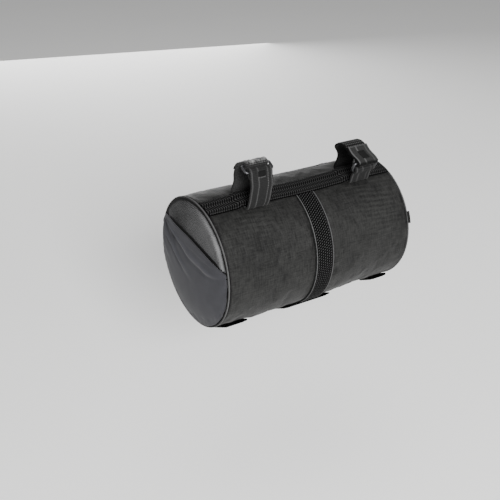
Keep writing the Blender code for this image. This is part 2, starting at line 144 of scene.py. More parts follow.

# %% [markdown]
# ## From a grid of points to a mesh
#
# Every surface here is a grid: rows and columns of points, with one four-sided face between neighbours. Along
# with its place, each point carries where it lies on the flat cloth, in millimetres, which becomes the UV map,
# so a weave follows the cloth round every bend. It also carries its relief, 0 in a groove and 1 on a crest, so
# a finish can paint shade in the grooves and a highlight on the crests. Some pieces add other painted shade and
# highlights to it.

# %% A mesh from grids of points
CLOTH_MAP = "cloth_mm"
# The attribute holds the relief together with painted shade and painted highlights.
RELIEF_AND_SHADE = "relief"


def grid_mesh(name, points, measure, relief=0.5, leave_out=None, inside=None):
    """Points in rows and columns, or several such grids, made into one mesh. Points that meet are merged. A
    closed mesh gets outward faces, and an open one faces away from the point inside."""
    grids = np.asarray(points, float)
    grids = grids.reshape(-1, *grids.shape[-3:])
    number = np.arange(grids[..., 0].size).reshape(grids.shape[:3])
    quads = np.stack([number[:, :-1, :-1], number[:, 1:, :-1], number[:, 1:, 1:], number[:, :-1, 1:]], -1)
    if leave_out is not None:
        quads = quads[~leave_out[None]]
    quads = quads.reshape(-1, 4)
    if inside is not None:
        corner = grids.reshape(-1, 3)[quads]
        facing = np.cross(corner[:, 2] - corner[:, 0], corner[:, 3] - corner[:, 1])
        if np.sum(facing * (corner.mean(1) - np.array(inside))) < 0:
            quads = quads[:, ::-1]
    mesh = bpy.data.meshes.new(name)
    mesh.from_pydata(grids.reshape(-1, 3), [], quads)
    flat = np.broadcast_to(measure, grids.shape[:3] + (2,)).reshape(-1, 2) / MM
    mesh.uv_layers.new(name=CLOTH_MAP).data.foreach_set("uv", flat[quads.ravel()].astype(np.float32).ravel())
    heights = np.broadcast_to(relief, grids.shape[:3]).astype(np.float32).ravel()
    mesh.attributes.new(RELIEF_AND_SHADE, "FLOAT", "POINT").data.foreach_set("value", heights)
    work = bmesh.new()
    work.from_mesh(mesh)
    bmesh.ops.remove_doubles(work, verts=work.verts, dist=0.002 * MM)
    if inside is None:
        bmesh.ops.recalc_face_normals(work, faces=work.faces)
    work.to_mesh(mesh)
    work.free()
    mesh.shade_smooth()
    return mesh


def add_piece(mesh, material, slot, *stands_for):
    """Shows a mesh as a piece that rides with the bag, and hides the solids that it stands for."""
    thing = bpy.data.objects.new(mesh.name, mesh)
    bpy.context.scene.collection.objects.link(thing)
    mesh.materials.append(material)
    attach(thing, "root")
    if stands_for:
        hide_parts(*stands_for)
    print(f"{thing.name}: {len(mesh.polygons)} faces")
    return thing


def add_wall(thing, thickness):
    """Gives an open surface its thickness, inwards from the face that shows."""
    wall = thing.modifiers.new("cloth thickness", "SOLIDIFY")
    wall.thickness = thickness
    wall.offset = -1
    wall.use_quality_normals = True
    return thing


# %% [markdown]
# ## Small irregularities
#
# Real cloth is never even. Soft noise is made once per piece from seeded random numbers: the fine part is
# taken out in frequency space, which is the same as blurring it, and it wraps round without a seam.

# %% Soft noise
def soft_noise(shape, reach, seed):
    """Blurred random numbers, with mean 0 and spread 1. reach is the blur in rows and in columns."""
    grain = np.random.default_rng(seed).standard_normal(shape)
    wave = [np.fft.fftfreq(count) * blur for count, blur in zip(shape, reach)]
    keep = np.exp(-2 * np.pi**2 * (wave[0][:, None] ** 2 + wave[1][None, :] ** 2))
    soft = np.fft.ifft2(np.fft.fft2(grain) * keep).real
    return (soft - soft.mean()) / soft.std()


# %% [markdown]
# ## Finishes
#
# A finish is a tree of shader nodes. One function adds a node, sets its values and links its inputs, and
# another turns a colour from a paint chart, in sRGB hex, into the linear numbers that the shader works with.

# %% Two helpers for finishes
def linear(code):
    """An sRGB hex colour as linear red, green, blue and alpha: the standard curve, channel by channel."""
    share = np.array([int(code[i : i + 2], 16) for i in (1, 3, 5)]) / 255
    curve = np.where(share <= 0.04045, share / 12.92, ((share + 0.055) / 1.055) ** 2.4)
    return (*curve, 1.0)


def add_node(tree, kind, inputs=None, **settings):
    """One node of a kind, with its settings. An input is given by its name or number, and is a value or
    another node's output."""
    made = tree.nodes.new(kind)
    for key, value in settings.items():
        setattr(made, key, value)
    for key, value in (inputs or {}).items():
        if isinstance(value, bpy.types.NodeSocket):
            tree.links.new(value, made.inputs[key])
        else:
            made.inputs[key].default_value = value
    return made


def new_finish(name, **values):
    """A material with a Principled shader, and the numbers of that shader's sockets."""
    material = bpy.data.materials.new(name)
    material.use_nodes = True
    shader = material.node_tree.nodes["Principled BSDF"]
    for key, value in values.items():
        shader.inputs[key.replace("_", " ")].default_value = value
    return material, material.node_tree, shader


def per_period(millimetres):
    """The scale at which a Wave texture repeats once in that many millimetres: its bands are the sine of
    twenty times the scaled coordinate."""
    return 2 * np.pi / 20 / millimetres


# %% [markdown]
# ## Coated ripstop nylon
#
# The barrel is nylon with a thicker thread every few millimetres, which stops a tear, and a dull coating. The
# eye sees a near-black cloth with a faint grid, fine streaks down the cloth, and a paler cast where it is
# scuffed. The real weave is five times finer than a pixel, so the threads are drawn coarser than they are.

# %% Ripstop nylon
RIPSTOP_GRID = 3.2  # millimetres between the thicker threads, drawn about as coarse as the eye can see
STREAK_LENGTH = 8  # times as long as wide, for uneven threads


def ripstop_nylon():
    """Uneven threads both ways, a faint grid of thick threads, and slow scuffs."""
    material, tree, shader = new_finish("coated ripstop nylon", Sheen_Weight=0.02, Sheen_Roughness=0.5,
                                        Specular_IOR_Level=0.16)
    cloth = add_node(tree, "ShaderNodeUVMap", uv_map=CLOTH_MAP).outputs["UV"]
    sharp = []
    for across in "XY":
        wave = add_node(tree, "ShaderNodeTexWave", {"Vector": cloth, "Scale": per_period(RIPSTOP_GRID),
                        "Distortion": 1.2, "Detail": 2.0, "Detail Scale": 0.5}, bands_direction=across).outputs["Fac"]
        sharp.append(add_node(tree, "ShaderNodeMath", {0: wave, 1: 6.0}, operation="POWER").outputs[0])
    grid = add_node(tree, "ShaderNodeMath", {0: sharp[0], 1: sharp[1]}, operation="MAXIMUM").outputs[0]
    threads = []
    for squeeze in ((1.0, 1 / STREAK_LENGTH, 1.0), (1 / STREAK_LENGTH, 1.0, 1.0)):
        stretched = add_node(tree, "ShaderNodeMapping", {"Vector": cloth, "Scale": squeeze}).outputs[0]
        threads.append(add_node(tree, "ShaderNodeTexNoise", {"Vector": stretched, "Scale": 0.7, "Detail": 3.0,
                                "Roughness": 0.7}).outputs["Fac"])
    scuffs = add_node(tree, "ShaderNodeTexNoise", {"Vector": cloth, "Scale": 0.025, "Detail": 4.0,
                      "Roughness": 0.55}).outputs["Fac"]
    creases = add_node(tree, "ShaderNodeAttribute", attribute_name=RELIEF_AND_SHADE).outputs["Fac"]
    weave = add_node(tree, "ShaderNodeMath", {0: threads[0], 1: 1.2, 2: threads[1]},
                     operation="MULTIPLY_ADD").outputs[0]
    tone = add_node(tree, "ShaderNodeMath", {0: weave, 1: 1.9, 2: -2.17}, operation="MULTIPLY_ADD").outputs[0]
    tone = add_node(tree, "ShaderNodeMath", {0: scuffs, 1: 0.7, 2: tone}, operation="MULTIPLY_ADD").outputs[0]
    # Painted shade and highlight from the relief attribute: darker in the folds' valleys and the rims' seams, paler on
    # the crests.
    tone = add_node(tree, "ShaderNodeMath", {0: creases, 1: 0.4, 2: tone}, operation="MULTIPLY_ADD").outputs[0]
    tone = add_node(tree, "ShaderNodeMath", {0: grid, 1: 0.10, 2: tone}, operation="MULTIPLY_ADD").outputs[0]
    colour = add_node(tree, "ShaderNodeMix", {"Factor": tone, 6: linear("#070707"), 7: linear("#242423")},
                      data_type="RGBA")
    tree.links.new(colour.outputs[2], shader.inputs["Base Color"])
    rough = add_node(tree, "ShaderNodeMapRange", {"Value": scuffs, "To Min": 0.5, "To Max": 0.72})
    tree.links.new(rough.outputs[0], shader.inputs["Roughness"])
    height = add_node(tree, "ShaderNodeMath", {0: grid, 1: 0.5, 2: weave}, operation="MULTIPLY_ADD").outputs[0]
    relief = add_node(tree, "ShaderNodeBump", {"Height": height, "Strength": 0.6, "Distance": 0.25 * MM})
    tree.links.new(relief.outputs[0], shader.inputs["Normal"])
    return material


RIPSTOP = ripstop_nylon()
print("finish:", RIPSTOP.name)

# %% [markdown]
# ## The barrel
#
# A bag's cloth is one sheet rolled into a tube and sewn at both rims. It could be a cylinder with a bump
# texture, but its creases would not show on its outline, so they are real here: long slack folds round the
# bag, short creases, ripples where a strap pulls, and the puckers that a needle leaves beside a seam. Under the
# webbing, the band, the loops and the zip the cloth lies calm, because they are sewn down on it.

# %% Where other pieces lie on the barrel
WEBBING_WIDTH = 25 * MM
BAND_WIDTH = 26 * MM
LOOP_ANGLE = 243
ZIP_ANGLE = 45
ZIP_LENGTH = 220 * MM
ZIP_TAPE = 24 * MM
LOOP_WIDTH = 25 * MM
ZIP_TAIL = 8 * MM
# Columns: name, start and stop as shares of the bag's length, thickness.
BOTTOM_LOOPS = (
    ("left", -0.462, -0.332, 2.6 * MM),
    ("middle", -0.132, 0.132, 2.0 * MM),
    ("right", 0.385, 0.487, 3.2 * MM),
)
# Columns: place along, half length, place round in degrees, half width.
COVERS = [
    (0, BAG_LENGTH, TOP_ANGLE, WEBBING_WIDTH / 2),
    (0, BAND_WIDTH / 2, 175, 95 * MM),
    (0, ZIP_LENGTH / 2 + ZIP_TAIL, ZIP_ANGLE, ZIP_TAPE / 2),
]
for _, start, stop, _ in BOTTOM_LOOPS:
    COVERS.append(((start + stop) / 2 * BAG_LENGTH, (stop - start) / 2 * BAG_LENGTH, LOOP_ANGLE, LOOP_WIDTH / 2))
ONE_DEGREE = np.radians(BARREL_RADIUS)  # the length of one degree round the barrel


def cover_distance(x, degrees):
    """How far a place on the barrel is from the nearest piece that is sewn on it: for a rectangle, the
    length of the part of the offset that lies outside it."""
    nearest = 1.0
    for place, half_length, middle, half_width in COVERS:
        side = np.abs((degrees - middle + 180) % 360 - 180) * ONE_DEGREE
        past = np.hypot(np.maximum(np.abs(x - place) - half_length, 0), np.maximum(side - half_width, 0))
        nearest = np.minimum(nearest, past)
    return nearest


print("pieces sewn on the barrel:", len(COVERS))

# %% [markdown]
# ## Letting the load press on the cloth
#
# A simulation finds the larger folds. A coarse copy of the barrel is cut slightly too big, held wherever something
# is sewn on it, and pressed outwards for a few frames. Only how far each place moved in or out is kept. The fine
# mesh reads that between the coarse places with cubic curves, which leave no corners in the shading.

# %% A simulated sheet
SHEET_ROWS, SHEET_COLUMNS = 90, 168
SHEET_SLACK = 0.004  # cut too big by this share
SHEET_UNEVEN = 0.15 * MM  # small irregularities, which decide where the cloth folds
SEWN_WITHIN = 1 * MM
LOAD_PRESSURE = 1.5
PRESSED_FRAMES = 20
MOST_SWELL = 2.2 * MM


def vertex_places(mesh):
    """The places of a mesh's vertices, as rows of x, y and z."""
    places = np.empty(3 * len(mesh.vertices), np.float32)
    mesh.vertices.foreach_get("co", places)
    return places.reshape(-1, 3).astype(float)


def press(sheet, sewn):
    """Simulated cloth: the sheet pinned where it is sewn, with pressure and no weight. Gives its last places."""
    sheet.vertex_groups.new(name="sewn").add(np.flatnonzero(sewn).tolist(), 1.0, "REPLACE")
    cloth = sheet.modifiers.new("cloth", "CLOTH").settings
    cloth.vertex_group_mass = "sewn"
    cloth.quality, cloth.mass, cloth.air_damping = 6, 0.2, 4
    cloth.tension_stiffness = cloth.compression_stiffness = 30
    cloth.bending_stiffness = 0.2
    cloth.shrink_min = -SHEET_SLACK
    cloth.use_pressure, cloth.uniform_pressure_force = True, LOAD_PRESSURE
    cloth.effector_weights.gravity = 0
    for step in range(1, PRESSED_FRAMES + 1):
        bpy.context.scene.frame_set(step)
    shown = sheet.evaluated_get(bpy.context.evaluated_depsgraph_get()).to_mesh()
    places = vertex_places(shown)
    bpy.context.scene.frame_set(1)
    return places


def pressed_sheet():
    """How far the coarse cloth moves out from the barrel's form, in rows along the bag and columns round it:
    the distance from the middle line after, less the one before, eased towards a limit by its tanh."""
    x, degrees = np.meshgrid(np.linspace(-BARREL_HALF, BARREL_HALF, SHEET_ROWS),
                             np.arange(SHEET_COLUMNS) * 360 / SHEET_COLUMNS, indexing="ij")
    flat = np.stack([x, np.radians(degrees) * BARREL_RADIUS], -1)
    points = on_barrel(x, degrees, SHEET_UNEVEN * soft_noise(x.shape, (2, 2), 16))
    closed = np.concatenate([points, points[:, :1]], 1), np.concatenate([flat, flat[:, :1]], 1)
    mesh = grid_mesh("sheet", *closed, inside=(0, *BAG_MIDDLE))
    sheet = bpy.data.objects.new("sheet", mesh)
    bpy.context.scene.collection.objects.link(sheet)
    start = vertex_places(mesh)
    turn = np.degrees(np.arctan2(start[:, 2] - BAG_MIDDLE[1], start[:, 1] - BAG_MIDDLE[0]))
    under_cover = cover_distance(start[:, 0], turn) < SEWN_WITHIN
    end = press(sheet, under_cover | (BARREL_HALF - np.abs(start[:, 0]) < SEWN_WITHIN))
    bpy.data.objects.remove(sheet)
    bpy.data.meshes.remove(mesh)
    moved = np.linalg.norm(end[:, 1:] - BAG_MIDDLE, axis=1) - np.linalg.norm(start[:, 1:] - BAG_MIDDLE, axis=1)
    row = np.rint((start[:, 0] / BARREL_HALF + 1) / 2 * (SHEET_ROWS - 1)).astype(int)
    column = np.rint(turn / 360 * SHEET_COLUMNS).astype(int) % SHEET_COLUMNS
    swell = np.zeros((SHEET_ROWS, SHEET_COLUMNS))
    swell[row, column] = moved
    return MOST_SWELL * np.tanh(swell / MOST_SWELL)


swell = pressed_sheet()
print("the load moves the cloth from", round(swell.min() / MM, 2), "to", round(swell.max() / MM, 2), "mm")

# %% Reading the sheet on a finer grid
def between(values, row, column):
    """Cubic reading of a grid between its places: the sum of the sixteen values around, each times its share,
    which is a cubic of its distance in each direction. Rows stop at the ends and columns go round."""
    total = 0
    for step in (-1, 0, 1, 2):
        for turn in (-1, 0, 1, 2):
            share = 1.0
            for at, offset in ((row, step), (column, turn)):
                far = np.abs(at - np.floor(at) - offset)
                near = 1.5 * far**3 - 2.5 * far**2 + 1
                share = share * np.where(far < 1, near, -0.5 * far**3 + 2.5 * far**2 - 4 * far + 2)
            picked_row = np.clip(np.floor(row).astype(int) + step, 0, values.shape[0] - 1)
            total = total + share * values[picked_row, (np.floor(column).astype(int) + turn) % values.shape[1]]
    return total


ZIP_SLOT = 8 * MM
REAR_FROM, REAR_TO = 55, 215  # degrees past the zip: the rear, which shows the most, has the finest grid
BARREL_ROWS, FRONT_PLACES, REAR_PLACES, UNDER_PLACES = 151, 32, 161, 69
slot = np.degrees(ZIP_SLOT / BARREL_RADIUS)
front_part = np.linspace(slot / 2, REAR_FROM, FRONT_PLACES)[:-1]
rear_part = np.linspace(REAR_FROM, REAR_TO, REAR_PLACES)[:-1]
under_part = np.linspace(REAR_TO, 360 - slot / 2, UNDER_PLACES)
barrel_turn = ZIP_ANGLE + np.array([-slot / 2, *front_part, *rear_part, *under_part])
x, degrees = np.meshgrid(np.linspace(-BARREL_HALF, BARREL_HALF, BARREL_ROWS), barrel_turn, indexing="ij")
pressed = between(swell, (x / BARREL_HALF + 1) / 2 * (SHEET_ROWS - 1), degrees / 360 * SHEET_COLUMNS)
print("the barrel's grid:", x.shape)

# %% Ripples where the straps pull
RIPPLE_LENGTH = 6 * MM
RIPPLE_SLANT = 0.10
slack = soft_noise(x.shape, (3.2, 15), 11)
broad = soft_noise(x.shape, (12, 16), 12)
creases = -np.abs(soft_noise(x.shape, (5, 12), 13))
stitch_pull = soft_noise(x.shape, (2.2, 2.2), 14)
drift = soft_noise(x.shape, (12, 7), 15)
ripple = np.sin(2 * np.pi * (np.radians(degrees) * BARREL_RADIUS - RIPPLE_SLANT * x) / RIPPLE_LENGTH + 1.5 * drift)
# Each strap pulls where a bell along the bag and a bell round it are both high.
near_right = bump(x - 92 * MM, 30 * MM) * bump(degrees - 142, 24)
near_left = 0.6 * bump(x + 80 * MM, 28 * MM) * bump(degrees - 132, 13)
pulled = near_right + near_left
print("share of the cloth that a strap pulls:", round(float((pulled > 0.5).mean()), 3))

# %% Folds, creases and puckers
FOLD_DEPTH = 0.42 * MM
CREASE_DEPTH = 0.30 * MM
PUCKER_HEIGHT = 0.30 * MM
PUCKER_REACH = 9 * MM
PUCKER_PLACE = 3 * MM  # from the seam
HELD_BY_SEAM = 2 * MM
RIPPLE_HEIGHT = 0.5 * MM
CALM_BY_PIECE, CALM_BY_RIM = 7 * MM, 9 * MM  # how far folds take to reach their full depth
cover = cover_distance(x, degrees)
rim = BARREL_HALF - np.abs(x)
calm = ease(cover / CALM_BY_PIECE) * ease(rim / CALM_BY_RIM)
wrinkles = calm * (FOLD_DEPTH * (0.55 * slack + 0.8 * broad) + CREASE_DEPTH * (creases + 0.8)) + pressed
seam = np.minimum(np.maximum(cover, 0), rim)
beside = bump(seam - PUCKER_PLACE, PUCKER_REACH) * ease(cover / HELD_BY_SEAM) * ease(rim / HELD_BY_SEAM)
wrinkles = (wrinkles + PUCKER_HEIGHT * beside * stitch_pull
            + RIPPLE_HEIGHT * calm * pulled * ripple * (0.7 + 0.3 * drift))
print("wrinkles from", round(wrinkles.min() / MM, 2), "to", round(wrinkles.max() / MM, 2), "mm")

# %% The barrel's cloth
SHELL_THICKNESS = 2 * MM
open_slot = (np.abs(x[:-1, :-1] + x[1:, 1:]) / 2 < ZIP_LENGTH / 2) & (np.arange(x.shape[1] - 1) < 1)[None, :]
flat_cloth = np.stack([x, np.radians(degrees) * BARREL_RADIUS], -1)
# Painted shade and highlight: paler on the crests of the folds and ripples, darker in their valleys, and dark
# where the cloth dips into a rim's seam.
painted_shade = 0.5 + 0.4 * wrinkles / MM + 0.7 * calm * pulled * ripple - 2 * bump(rim - 0.6 * MM, 1.2 * MM)
barrel_mesh = grid_mesh("barrel_cloth", on_barrel(x, degrees, wrinkles), flat_cloth, relief=painted_shade,
                        leave_out=open_slot, inside=(0, *BAG_MIDDLE))
barrel = add_wall(add_piece(barrel_mesh, RIPSTOP, "shell_cloth", "barrel"), SHELL_THICKNESS)

# %% [markdown]
# ## Plain-weave polyester
#
# The round ends are a lighter grey cloth whose weave can just be seen. Each thread goes over one and under
# one, which is a chequer of small bumps: the product of two waves at right angles.

# %% Plain weave
def plain_weave(name, dark, light, period, strength, sheen=0.04):
    """A chequer of threads, with uneven yarns, slow changes of tone, and the painted highlight and shade that a
    piece stores in its relief attribute, paler where it is high. The period is the spacing of the threads in
    millimetres, and is at least 0.5 so that it can show."""
    material, tree, shader = new_finish(name, Roughness=0.85, Sheen_Weight=sheen, Sheen_Roughness=0.45,
                                        Specular_IOR_Level=0.1)
    cloth = add_node(tree, "ShaderNodeUVMap", uv_map=CLOTH_MAP).outputs["UV"]
    waves = [add_node(tree, "ShaderNodeTexWave", {"Vector": cloth, "Scale": per_period(period), "Distortion": 0.5,
             "Detail": 1.0, "Detail Scale": 0.5}, bands_direction=way).outputs["Fac"] for way in ("X", "Y")]
    chequer = add_node(tree, "ShaderNodeMath", {0: waves[0], 1: waves[1]}, operation="MULTIPLY").outputs[0]
    yarns = add_node(tree, "ShaderNodeTexNoise", {"Vector": cloth, "Scale": 0.7, "Detail": 3.0}).outputs["Fac"]
    slow = add_node(tree, "ShaderNodeTexNoise", {"Vector": cloth, "Scale": 0.035, "Detail": 2.0}).outputs["Fac"]
    tone = add_node(tree, "ShaderNodeMath", {0: chequer, 1: 0.42, 2: -0.245}, operation="MULTIPLY_ADD").outputs[0]
    tone = add_node(tree, "ShaderNodeMath", {0: yarns, 1: 0.9, 2: tone}, operation="MULTIPLY_ADD").outputs[0]
    tone = add_node(tree, "ShaderNodeMath", {0: slow, 1: 0.35, 2: tone}, operation="MULTIPLY_ADD").outputs[0]
    painted_light = add_node(tree, "ShaderNodeAttribute", attribute_name=RELIEF_AND_SHADE).outputs["Fac"]
    tone = add_node(tree, "ShaderNodeMath", {0: painted_light, 1: 1.0, 2: tone}, operation="MULTIPLY_ADD").outputs[0]
    tone = add_node(tree, "ShaderNodeMath", {0: tone, 1: 0.5}, operation="SUBTRACT").outputs[0]
    colour = add_node(tree, "ShaderNodeMix", {"Factor": tone, 6: linear(dark), 7: linear(light)}, data_type="RGBA")
    tree.links.new(colour.outputs[2], shader.inputs["Base Color"])
    height = add_node(tree, "ShaderNodeMath", {0: yarns, 1: 0.6, 2: chequer}, operation="MULTIPLY_ADD").outputs[0]
    relief = add_node(tree, "ShaderNodeBump", {"Height": height, "Strength": strength, "Distance": 0.12 * MM})
    tree.links.new(relief.outputs[0], shader.inputs["Normal"])
    return material


END_WEAVE = 1.9  # millimetres, drawn about four times as coarse as the real threads, so that it shows
END_CLOTH = plain_weave("plain-weave polyester", "#070707", "#6e6e6f", END_WEAVE, 1.0, sheen=0.03)
print("finish:", END_CLOTH.name)

# %% [markdown]
# ## The round ends
#
# An end is a disc of cloth that the load pushes out. Its outline is a circle, it is nearly flat inside, and it
# rolls down to the seam. Where the round edge is eased into the seam, small puckers run inwards.

# %% The end panels
PANEL_THICKNESS = 1.5 * MM
PANEL_BULGE = 5 * MM
PANEL_FACE = PANEL_THICKNESS / 2
PANEL_DENT, PANEL_ROLL, PANEL_PUCKER = 0.35 * MM, 1.3 * MM, 0.45 * MM
POCKET_FRONT, POCKET_REAR, POCKET_CORNER = 31, 167, 5  # degrees
HEM_RISE = 7 * MM


def hem_height(flat):
    """How far above its pocket's hem a place on an end is: the hem is a chord that rises in its middle."""
    front, rear = PANEL_RADIUS * direction(POCKET_FRONT), PANEL_RADIUS * direction(POCKET_REAR)
    chord = np.linalg.norm(rear - front)
    way = (rear - front) / chord
    u = (flat - front) @ way / chord
    return (flat - front) @ np.array([way[1], -way[0]]) - HEM_RISE * 4 * np.clip(u * (1 - u), 0, 1)


def panel_face(radius):
    """How far out an end's middle layer lies: the bulge times one minus the radius share to a power."""
    return RIM_X + PANEL_BULGE * (1 - (radius / PANEL_RADIUS) ** 3.2)


def end_panel(name, side, seed):
    """A disc in rings and spokes, with slack inside and puckers at the seam."""
    share, turn = np.meshgrid(np.linspace(0, 1, 46) ** 0.8, np.linspace(0, 360, 221), indexing="ij")
    radius = PANEL_RADIUS * share
    flat = direction(turn) * radius[..., None]
    noise = soft_noise((share.shape[0], share.shape[1] - 1), (2.0, 1.6), seed)
    noise = np.concatenate([noise, noise[:, :1]], 1)
    slack = 0.5 * np.sin(flat[..., 0] / (19 * MM) + seed) * np.cos(flat[..., 1] / (24 * MM))
    dents = -PANEL_DENT * (1 + slack) * ease((1 - share) * 4)
    roll = PANEL_ROLL * bump(share - 0.89, 0.065) * ease((1 - share) / 0.05)
    puckers = -PANEL_PUCKER * np.abs(noise) * bump(share - 0.94, 0.07) * ease((1 - share) / 0.03)
    out = panel_face(radius) + PANEL_FACE + dents * 0.5 + roll + puckers
    points = np.concatenate([(side * out)[..., None], BAG_MIDDLE + flat], -1)
    # Tone: a painted highlight in a band beside the seam at the rear, painted shade in the seam itself, painted
    # shade a little darker towards the front, and painted shade where the pocket's hem shades the cloth.
    below = hem_height(flat)
    rear = ease((-flat[..., 0] - 5 * MM) / (60 * MM))
    tone = (0.40 + 0.60 * bump(share - 0.935, 0.034) * rear - 0.7 * bump(share - 1, 0.022)
            - 0.22 * ease((flat[..., 0] + 40 * MM) / (70 * MM)) - 1.5 * ease((0.5 * MM - below) / (1.2 * MM)))
    mesh = grid_mesh("end_cloth_" + name, points, flat, relief=tone, inside=(0, *BAG_MIDDLE))
    panel = add_piece(mesh, END_CLOTH, "end_cloth", "end_panel_" + name)
    add_wall(panel, PANEL_THICKNESS)


for end_name, end_side in (("left", -1), ("right", 1)):
    end_panel(end_name, end_side, 21)

# %% [markdown]
# ## Stretch knit
#
# The pockets are a smooth stretch cloth, a fine knit that looks almost plain: an even grey, a little violet,
# softer and darker than the ends, with the faint lengthwise wales of a knit.

# %% Stretch knit
KNIT_WALE = 1.1  # millimetres, drawn about twice as coarse as the real wales


def stretch_knit():
    """Fine wales in one direction, soft mottling, and shade in the valleys of the folds."""
    material, tree, shader = new_finish("stretch knit", Roughness=0.8, Sheen_Weight=0.06, Sheen_Roughness=0.4,
                                        Specular_IOR_Level=0.25)
    cloth = add_node(tree, "ShaderNodeUVMap", uv_map=CLOTH_MAP).outputs["UV"]
    wales = add_node(tree, "ShaderNodeTexWave", {"Vector": cloth, "Scale": per_period(KNIT_WALE), "Distortion": 0.8,
                     "Detail": 1.0, "Detail Scale": 0.6}, bands_direction="X").outputs["Fac"]
    mottle = add_node(tree, "ShaderNodeTexNoise", {"Vector": cloth, "Scale": 0.05, "Detail": 5.0,
                      "Roughness": 0.5}).outputs["Fac"]
    height = add_node(tree, "ShaderNodeAttribute", attribute_name=RELIEF_AND_SHADE).outputs["Fac"]
    tone = add_node(tree, "ShaderNodeMath", {0: mottle, 1: 0.5, 2: 0.0}, operation="MULTIPLY_ADD").outputs[0]
    tone = add_node(tree, "ShaderNodeMath", {0: height, 1: 0.55, 2: tone}, operation="MULTIPLY_ADD").outputs[0]
    tone = add_node(tree, "ShaderNodeMath", {0: wales, 1: 0.12, 2: tone}, operation="MULTIPLY_ADD").outputs[0]
    colour = add_node(tree, "ShaderNodeMix", {"Factor": tone, 6: linear("#151519"), 7: linear("#3c3c40")},
                      data_type="RGBA")
    tree.links.new(colour.outputs[2], shader.inputs["Base Color"])
    relief = add_node(tree, "ShaderNodeBump", {"Height": wales, "Strength": 0.25, "Distance": 0.08 * MM})
    tree.links.new(relief.outputs[0], shader.inputs["Normal"])
    return material


KNIT = stretch_knit()
print("finish:", KNIT.name)

# %% [markdown]
# ## The side pockets
#
# Each pocket is a half disc sewn to the rim, open along a straight hem. The cloth is gathered at its front
# corner, so folds fan out from there. A fold is a ridge along a curve in the pocket's own plane: how far a
# place is from the curve gives the height, and how far it is along the hem gives where the fold fades out.

# %% The shape of a pocket
POCKET_THICKNESS = 1.2 * MM
POCKET_GAP = (PANEL_THICKNESS + POCKET_THICKNESS) / 2 + SEAM_GAP
POCKET_MOUTH = 2.7 * MM
POCKET_BELLY = 5.5 * MM
HEM_HEIGHT, POCKET_PUCKER, POCKET_SLACK = 0.45 * MM, 0.35 * MM, 0.30 * MM
HEM_TURN = 0.085  # the turned hem's depth, as a share of the way from hem to rim

# Columns: places along the hem, places from hem to rim, height in millimetres, half width as a share, and
# where along the hem the fold starts and stops.
POCKET_FOLDS = (
    ((0.0, 0.12, 0.30, 0.44, 0.62), (0.42, 0.37, 0.28, 0.33, 0.42), 1.6, 0.036, 0.03, 0.62),
    ((0.0, 0.21, 0.41, 0.53, 0.68, 0.81, 0.92), (0.20, 0.13, 0.13, 0.17, 0.18, 0.24, 0.30), 1.5, 0.032, 0.04, 0.95),
    ((0.0, 0.12, 0.30, 0.44), (0.31, 0.25, 0.20, 0.25), -1.6, 0.06, 0.03, 0.46),
    ((0.0, 0.20, 0.36, 0.50), (0.30, 0.22, 0.21, 0.25), 0.8, 0.04, 0.06, 0.46),
    ((0.0, 0.15, 0.30, 0.50), (0.62, 0.56, 0.50, 0.56), 0.9, 0.08, 0.04, 0.42),
    ((0.0, 0.15, 0.30), (0.80, 0.78, 0.76), 0.5, 0.06, 0.03, 0.28),
)


def pocket_relief(u, v):
    """The folds of a pocket: for each, a bell across its curve, faded in and out along the hem."""
    lift = 0 * u
    for place_u, place_v, height, width, start, stop in POCKET_FOLDS:
        curve = np.interp(u, place_u, place_v)
        fade = ease((u - start) / 0.10) * (1 - ease((u - stop + 0.22) / 0.22))
        spread = width * (0.45 + 0.9 * u)
        lift = lift + height * MM * fade * (bump(v - curve, spread) - 0.35 * bump(v - curve - 1.6 * spread, spread))
    return lift


# %% The pockets
def pocket_points(side, u, v, extra):
    """A pocket's cloth: straight from the hem to the rim in the end's plane, and out by the end's bulge and
    the pocket's own lift, which is nothing at the rim and at both corners."""
    front, rear = direction(POCKET_FRONT), direction(POCKET_REAR)
    up = np.array([rear[1] - front[1], front[0] - rear[0]])
    up = up / np.linalg.norm(up)
    hem = PANEL_RADIUS * (front + (rear - front) * u[..., None])
    hem = hem + up * (HEM_RISE * 4 * u * (1 - u))[..., None]
    start, stop = POCKET_FRONT - POCKET_CORNER, POCKET_REAR + POCKET_CORNER - 360
    rim = PANEL_RADIUS * direction(start + (stop - start) * u)
    flat = hem + (rim - hem) * v[..., None]
    held = np.sin(np.pi * np.clip(u, 0, 1)) ** 0.7
    lift = held * (POCKET_MOUTH * (1 - v) ** 2 + POCKET_BELLY * np.sin(np.pi * np.clip(v, 0, 1)))
    out = panel_face(np.linalg.norm(flat, axis=-1)) + POCKET_GAP + lift + extra
    return np.concatenate([(side * out)[..., None], BAG_MIDDLE + flat], -1), flat


def side_pocket(name, side):
    """The pocket's cloth, with its folds, its turned hem and the puckers at the rim."""
    u, v = np.meshgrid(np.linspace(0, 1, 141), np.linspace(0, 1, 91), indexing="ij")
    folds = pocket_relief(u, v) * ease((1 - v) / 0.08)
    hem = HEM_HEIGHT * (1 - ease((v - HEM_TURN) / 0.012)) * np.sin(np.pi * u) ** 0.3
    puckers = POCKET_PUCKER * soft_noise(u.shape, (1.3, 3), 31) * bump(v - 0.95, 0.06) * ease((1 - v) / 0.03)
    slack = POCKET_SLACK * soft_noise(u.shape, (14, 12), 32) * ease((1 - v) / 0.15)
    extra = POCKET_THICKNESS / 2 + folds + hem + puckers + slack
    points, flat = pocket_points(side, u, v, extra)
    painted_shade = 0.34 - 0.12 * v + 0.45 * folds / MM  # painted light: paler at the hem and on the ridges, darker towards the rim and in the valleys
    mesh = grid_mesh("pocket_cloth_" + name, points, flat, relief=painted_shade, inside=(0, *BAG_MIDDLE))
    pocket = add_wall(add_piece(mesh, KNIT, "stretch_cloth", "side_pocket_" + name), POCKET_THICKNESS)


